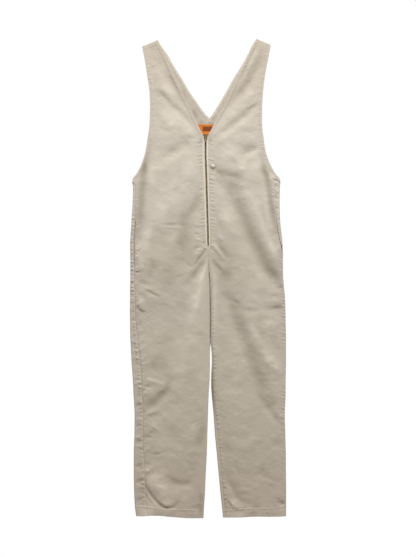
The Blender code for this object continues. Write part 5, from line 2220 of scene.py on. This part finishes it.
@dataclass
class Zip:
    """The zip: two tapes, two rows of teeth, the stop, the slider and its pull tab."""
    top_y: float = 400.6
    bottom_y: float = 104.5
    chain_width: float = 4.4
    chain_z: float = 3.6
    tooth_pitch: float = 1.9
    tooth_reach: float = 2.5
    tooth_width: float = 0.85
    tooth_height: float = 2.1
    tooth_x: float = 0.95  # from the chain's middle line
    tooth_ends: Point = (0.6, 0.4)  # from the chain's top and past its bottom
    line_step: float = 2.0  # between the points of the line the teeth follow
    tape_low_z: float = 3.1
    tape_thick: float = 1.0
    tape_width: float = 14.0
    tape_top_y: float = 412.0
    tape_bottom_y: float = 84.0
    tape_wall: float = 0.7
    tape_cells: tuple[int, int] = (140, 12)
    cord: Swell = Swell(0.2, 0.9, 0.8)
    spread: float = 1.3
    spread_low_y: float = 398.6
    spread_run: float = 10.0

    def build(self) -> None:
        """Build the tapes and teeth and dress the metal parts."""
        for half in HALVES:
            self._tape(half)
        self._teeth()
        for node, finish in (
            ("zip_slider", SLIDER_BRASS), ("zip_stop", DARK_BRASS), ("zip_pull", GOLD_BRASS)):
            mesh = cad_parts[node].data
            mesh.materials.clear()
            mesh.materials.append(finish.material())

    def _tape(self, half: Half) -> None:
        """One tape, with a corded edge beside the teeth.

        Args:
            half: The side of the garment.
        """
        rows, columns = self.tape_cells
        y = np.linspace(self.tape_top_y, self.tape_bottom_y, rows + 1)[:, None]
        parted = self.spread * Ramp(self.spread_low_y, self.spread_run).at(y)
        inner = self.chain_width / 2.0 + LAY_GAP + parted
        shares = np.linspace(0.0, 1.0, columns + 1)[None, :]
        reach = mix(self.tape_width, inner, shares)
        x = zip_centre(y) + half.sign * reach
        z = self.tape_low_z + self.tape_thick - self.cord.height + self.cord.at(reach - inner)
        points = np.stack([x, y + 0.0 * x, z], axis=-1)
        node = "zip_tape_" + half.name
        mesh = grid_mesh(node + "_grid", points)
        piece = add_piece(node + "_cloth", walled_mesh(node + "_cloth", mesh, self.tape_wall), TAPE)
        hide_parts(node)

    def _teeth(self) -> None:
        """Both rows of teeth, each tooth half way between two of the other row."""
        meshes = []
        for half in HALVES:
            offset = self.tooth_pitch / 2.0 if half.sign > 0 else 0.0
            top_y, low_y = self.top_y - self.tooth_ends[0] - offset, self.bottom_y + self.tooth_ends[1]
            y = np.arange(top_y, low_y, -self.line_step)
            x = zip_centre(y) + half.sign * self.tooth_x
            points = np.stack([x, y, np.full(y.shape, self.chain_z)], axis=-1)
            line = StitchLine(points, np.tile([0.0, 0.0, 1.0], (len(y), 1)))
            sizes = {"Pitch": self.tooth_pitch * MM, "Reach": self.tooth_reach * MM,
                     "Width": self.tooth_width * MM, "Height": self.tooth_height * MM,
                     "Way": float(half.sign)}
            meshes.append(run_tree("teeth_" + half.name, [line], tooth_tree(), sizes, DARK_BRASS))
        for half, mesh in zip(HALVES, meshes):
            piece = add_piece("zip_teeth_" + half.name, mesh, DARK_BRASS)
            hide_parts("zip_chain")


# ---- The studio ----
class Lamp(NamedTuple):
    """A soft square light, aimed at the garment's middle: its sizes in metres, its power in watts."""
    name: str
    place: tuple[float, float, float]
    colour: Colour
    size: float
    power: float


@dataclass
class Studio:
    """A plain pale floor, soft lights and the camera straight above."""
    frame_height: float = 1.6153  # what the picture's height covers on the floor, in metres
    lens: float = 85.0
    sensor: float = 36.0
    floor_size: float = 14.0
    floor_z: float = -0.0004
    gap_reach: float = 0.012  # how near cloth has to be to shade the floor
    gap_shares: Point = (0.27, 0.34)  # openness of a gap at which the floor is dark, and white
    # colour of the painted shade that the floor glows with in a narrow gap
    gap_colour: Colour = (0.06, 0.034, 0.018)
    floor_colour: Colour = (0.8, 0.8, 0.8)
    sky: float = 0.1  # how bright the world is to the cloth
    lamps: tuple[Lamp, ...] = (
        Lamp("key", (0.24, 4.62, 1.87), (0.95, 1.0, 1.07), 1.7, 406.0),
        Lamp("top", (0.0, 0.3, 3.2), (1.05, 1.0, 0.93), 2.2, 17.0))

    def build(self) -> None:
        """Set up the floor, world, lights and camera."""
        self._floor()
        self._world()
        for lamp in self.lamps:
            self._light(lamp)
        self._camera()
        bpy.context.scene.view_settings.view_transform = "Standard"

    def _floor(self) -> None:
        """A white floor that stays white round the garment and shows painted shade only in narrow gaps,
        where its glow darkens by ambient occlusion.
        """
        side = self.floor_size / 2.0
        mesh = bpy.data.meshes.new("floor")
        corners = [(-side, -side, self.floor_z), (side, -side, self.floor_z),
                   (side, side, self.floor_z), (-side, side, self.floor_z)]
        mesh.from_pydata(corners, [], [(0, 1, 2, 3)])
        floor = linked_object("floor", mesh)
        material, graph = new_material("studio floor")
        near = graph.add(
            "ShaderNodeAmbientOcclusion", {"Distance": self.gap_reach}, samples=24, only_local=False)
        dark, white = self.gap_shares
        open_share = graph.add(
            "ShaderNodeMapRange", {"Value": near.outputs["AO"], "From Min": dark, "From Max": white})
        path = graph.add("ShaderNodeLightPath")
        plain = graph.add("ShaderNodeBsdfDiffuse", {"Color": (*self.floor_colour, 1.0)})
        seen = graph.add("ShaderNodeMix", {"Factor": open_share.outputs[0], "A": (*self.gap_colour, 1.0),
                                           "B": (1.0, 1.0, 1.0, 1.0)}, data_type="RGBA")
        glow = graph.add("ShaderNodeEmission", {"Color": seen.outputs["Result"], "Strength": 1.0})
        mixed = graph.add(
            "ShaderNodeMixShader",
            {0: path.outputs["Is Camera Ray"], 1: plain.outputs[0], 2: glow.outputs[0]})
        graph.add("ShaderNodeOutputMaterial", {"Surface": mixed.outputs[0]})
        mesh.materials.append(material)

    def _world(self) -> None:
        """A pale world that shows as white."""
        world = bpy.data.worlds.new("studio")
        bpy.context.scene.world = world
        world.use_nodes = True
        graph = Graph(world.node_tree)
        path = graph.add("ShaderNodeLightPath")
        seen = graph.math("MULTIPLY", path.outputs["Is Camera Ray"], 1.0 - self.sky)
        strength = graph.math("ADD", seen, self.sky)
        back = graph.add("ShaderNodeBackground", {"Color": (1.0, 1.0, 1.0, 1.0), "Strength": strength})
        graph.add("ShaderNodeOutputWorld", {"Surface": back.outputs[0]})

    def _light(self, lamp: Lamp) -> None:
        """Set up one light.

        Args:
            lamp: The light.
        """
        data = bpy.data.lights.new(lamp.name, "AREA")
        data.color = lamp.colour
        data.size = lamp.size
        data.energy = lamp.power
        placed = linked_object(lamp.name, data)
        placed.location = lamp.place
        placed.rotation_euler = (-Vector(lamp.place)).to_track_quat("-Z", "Y").to_euler()

    def _camera(self) -> None:
        """The camera straight above, with the straps at the top of the picture."""
        data = bpy.data.cameras.new("camera")
        data.lens = self.lens
        data.sensor_width = self.sensor
        camera = linked_object("camera", data)
        camera.location = (0.0, 0.0, self.lens / self.sensor * self.frame_height)
        bpy.context.scene.camera = camera


def write_sizes() -> None:
    """Bring the view layer up to date."""
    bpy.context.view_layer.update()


def main() -> None:
    """Dress the garment and set up the studio."""
    Studio().build()
    panels = Panels()
    panels.build()
    facing_lines = BackNeck().build()
    Pockets().build()
    Zip().build()
    Stitching(panels).build(facing_lines)
    write_sizes()


if __name__ == "__main__":
    main()
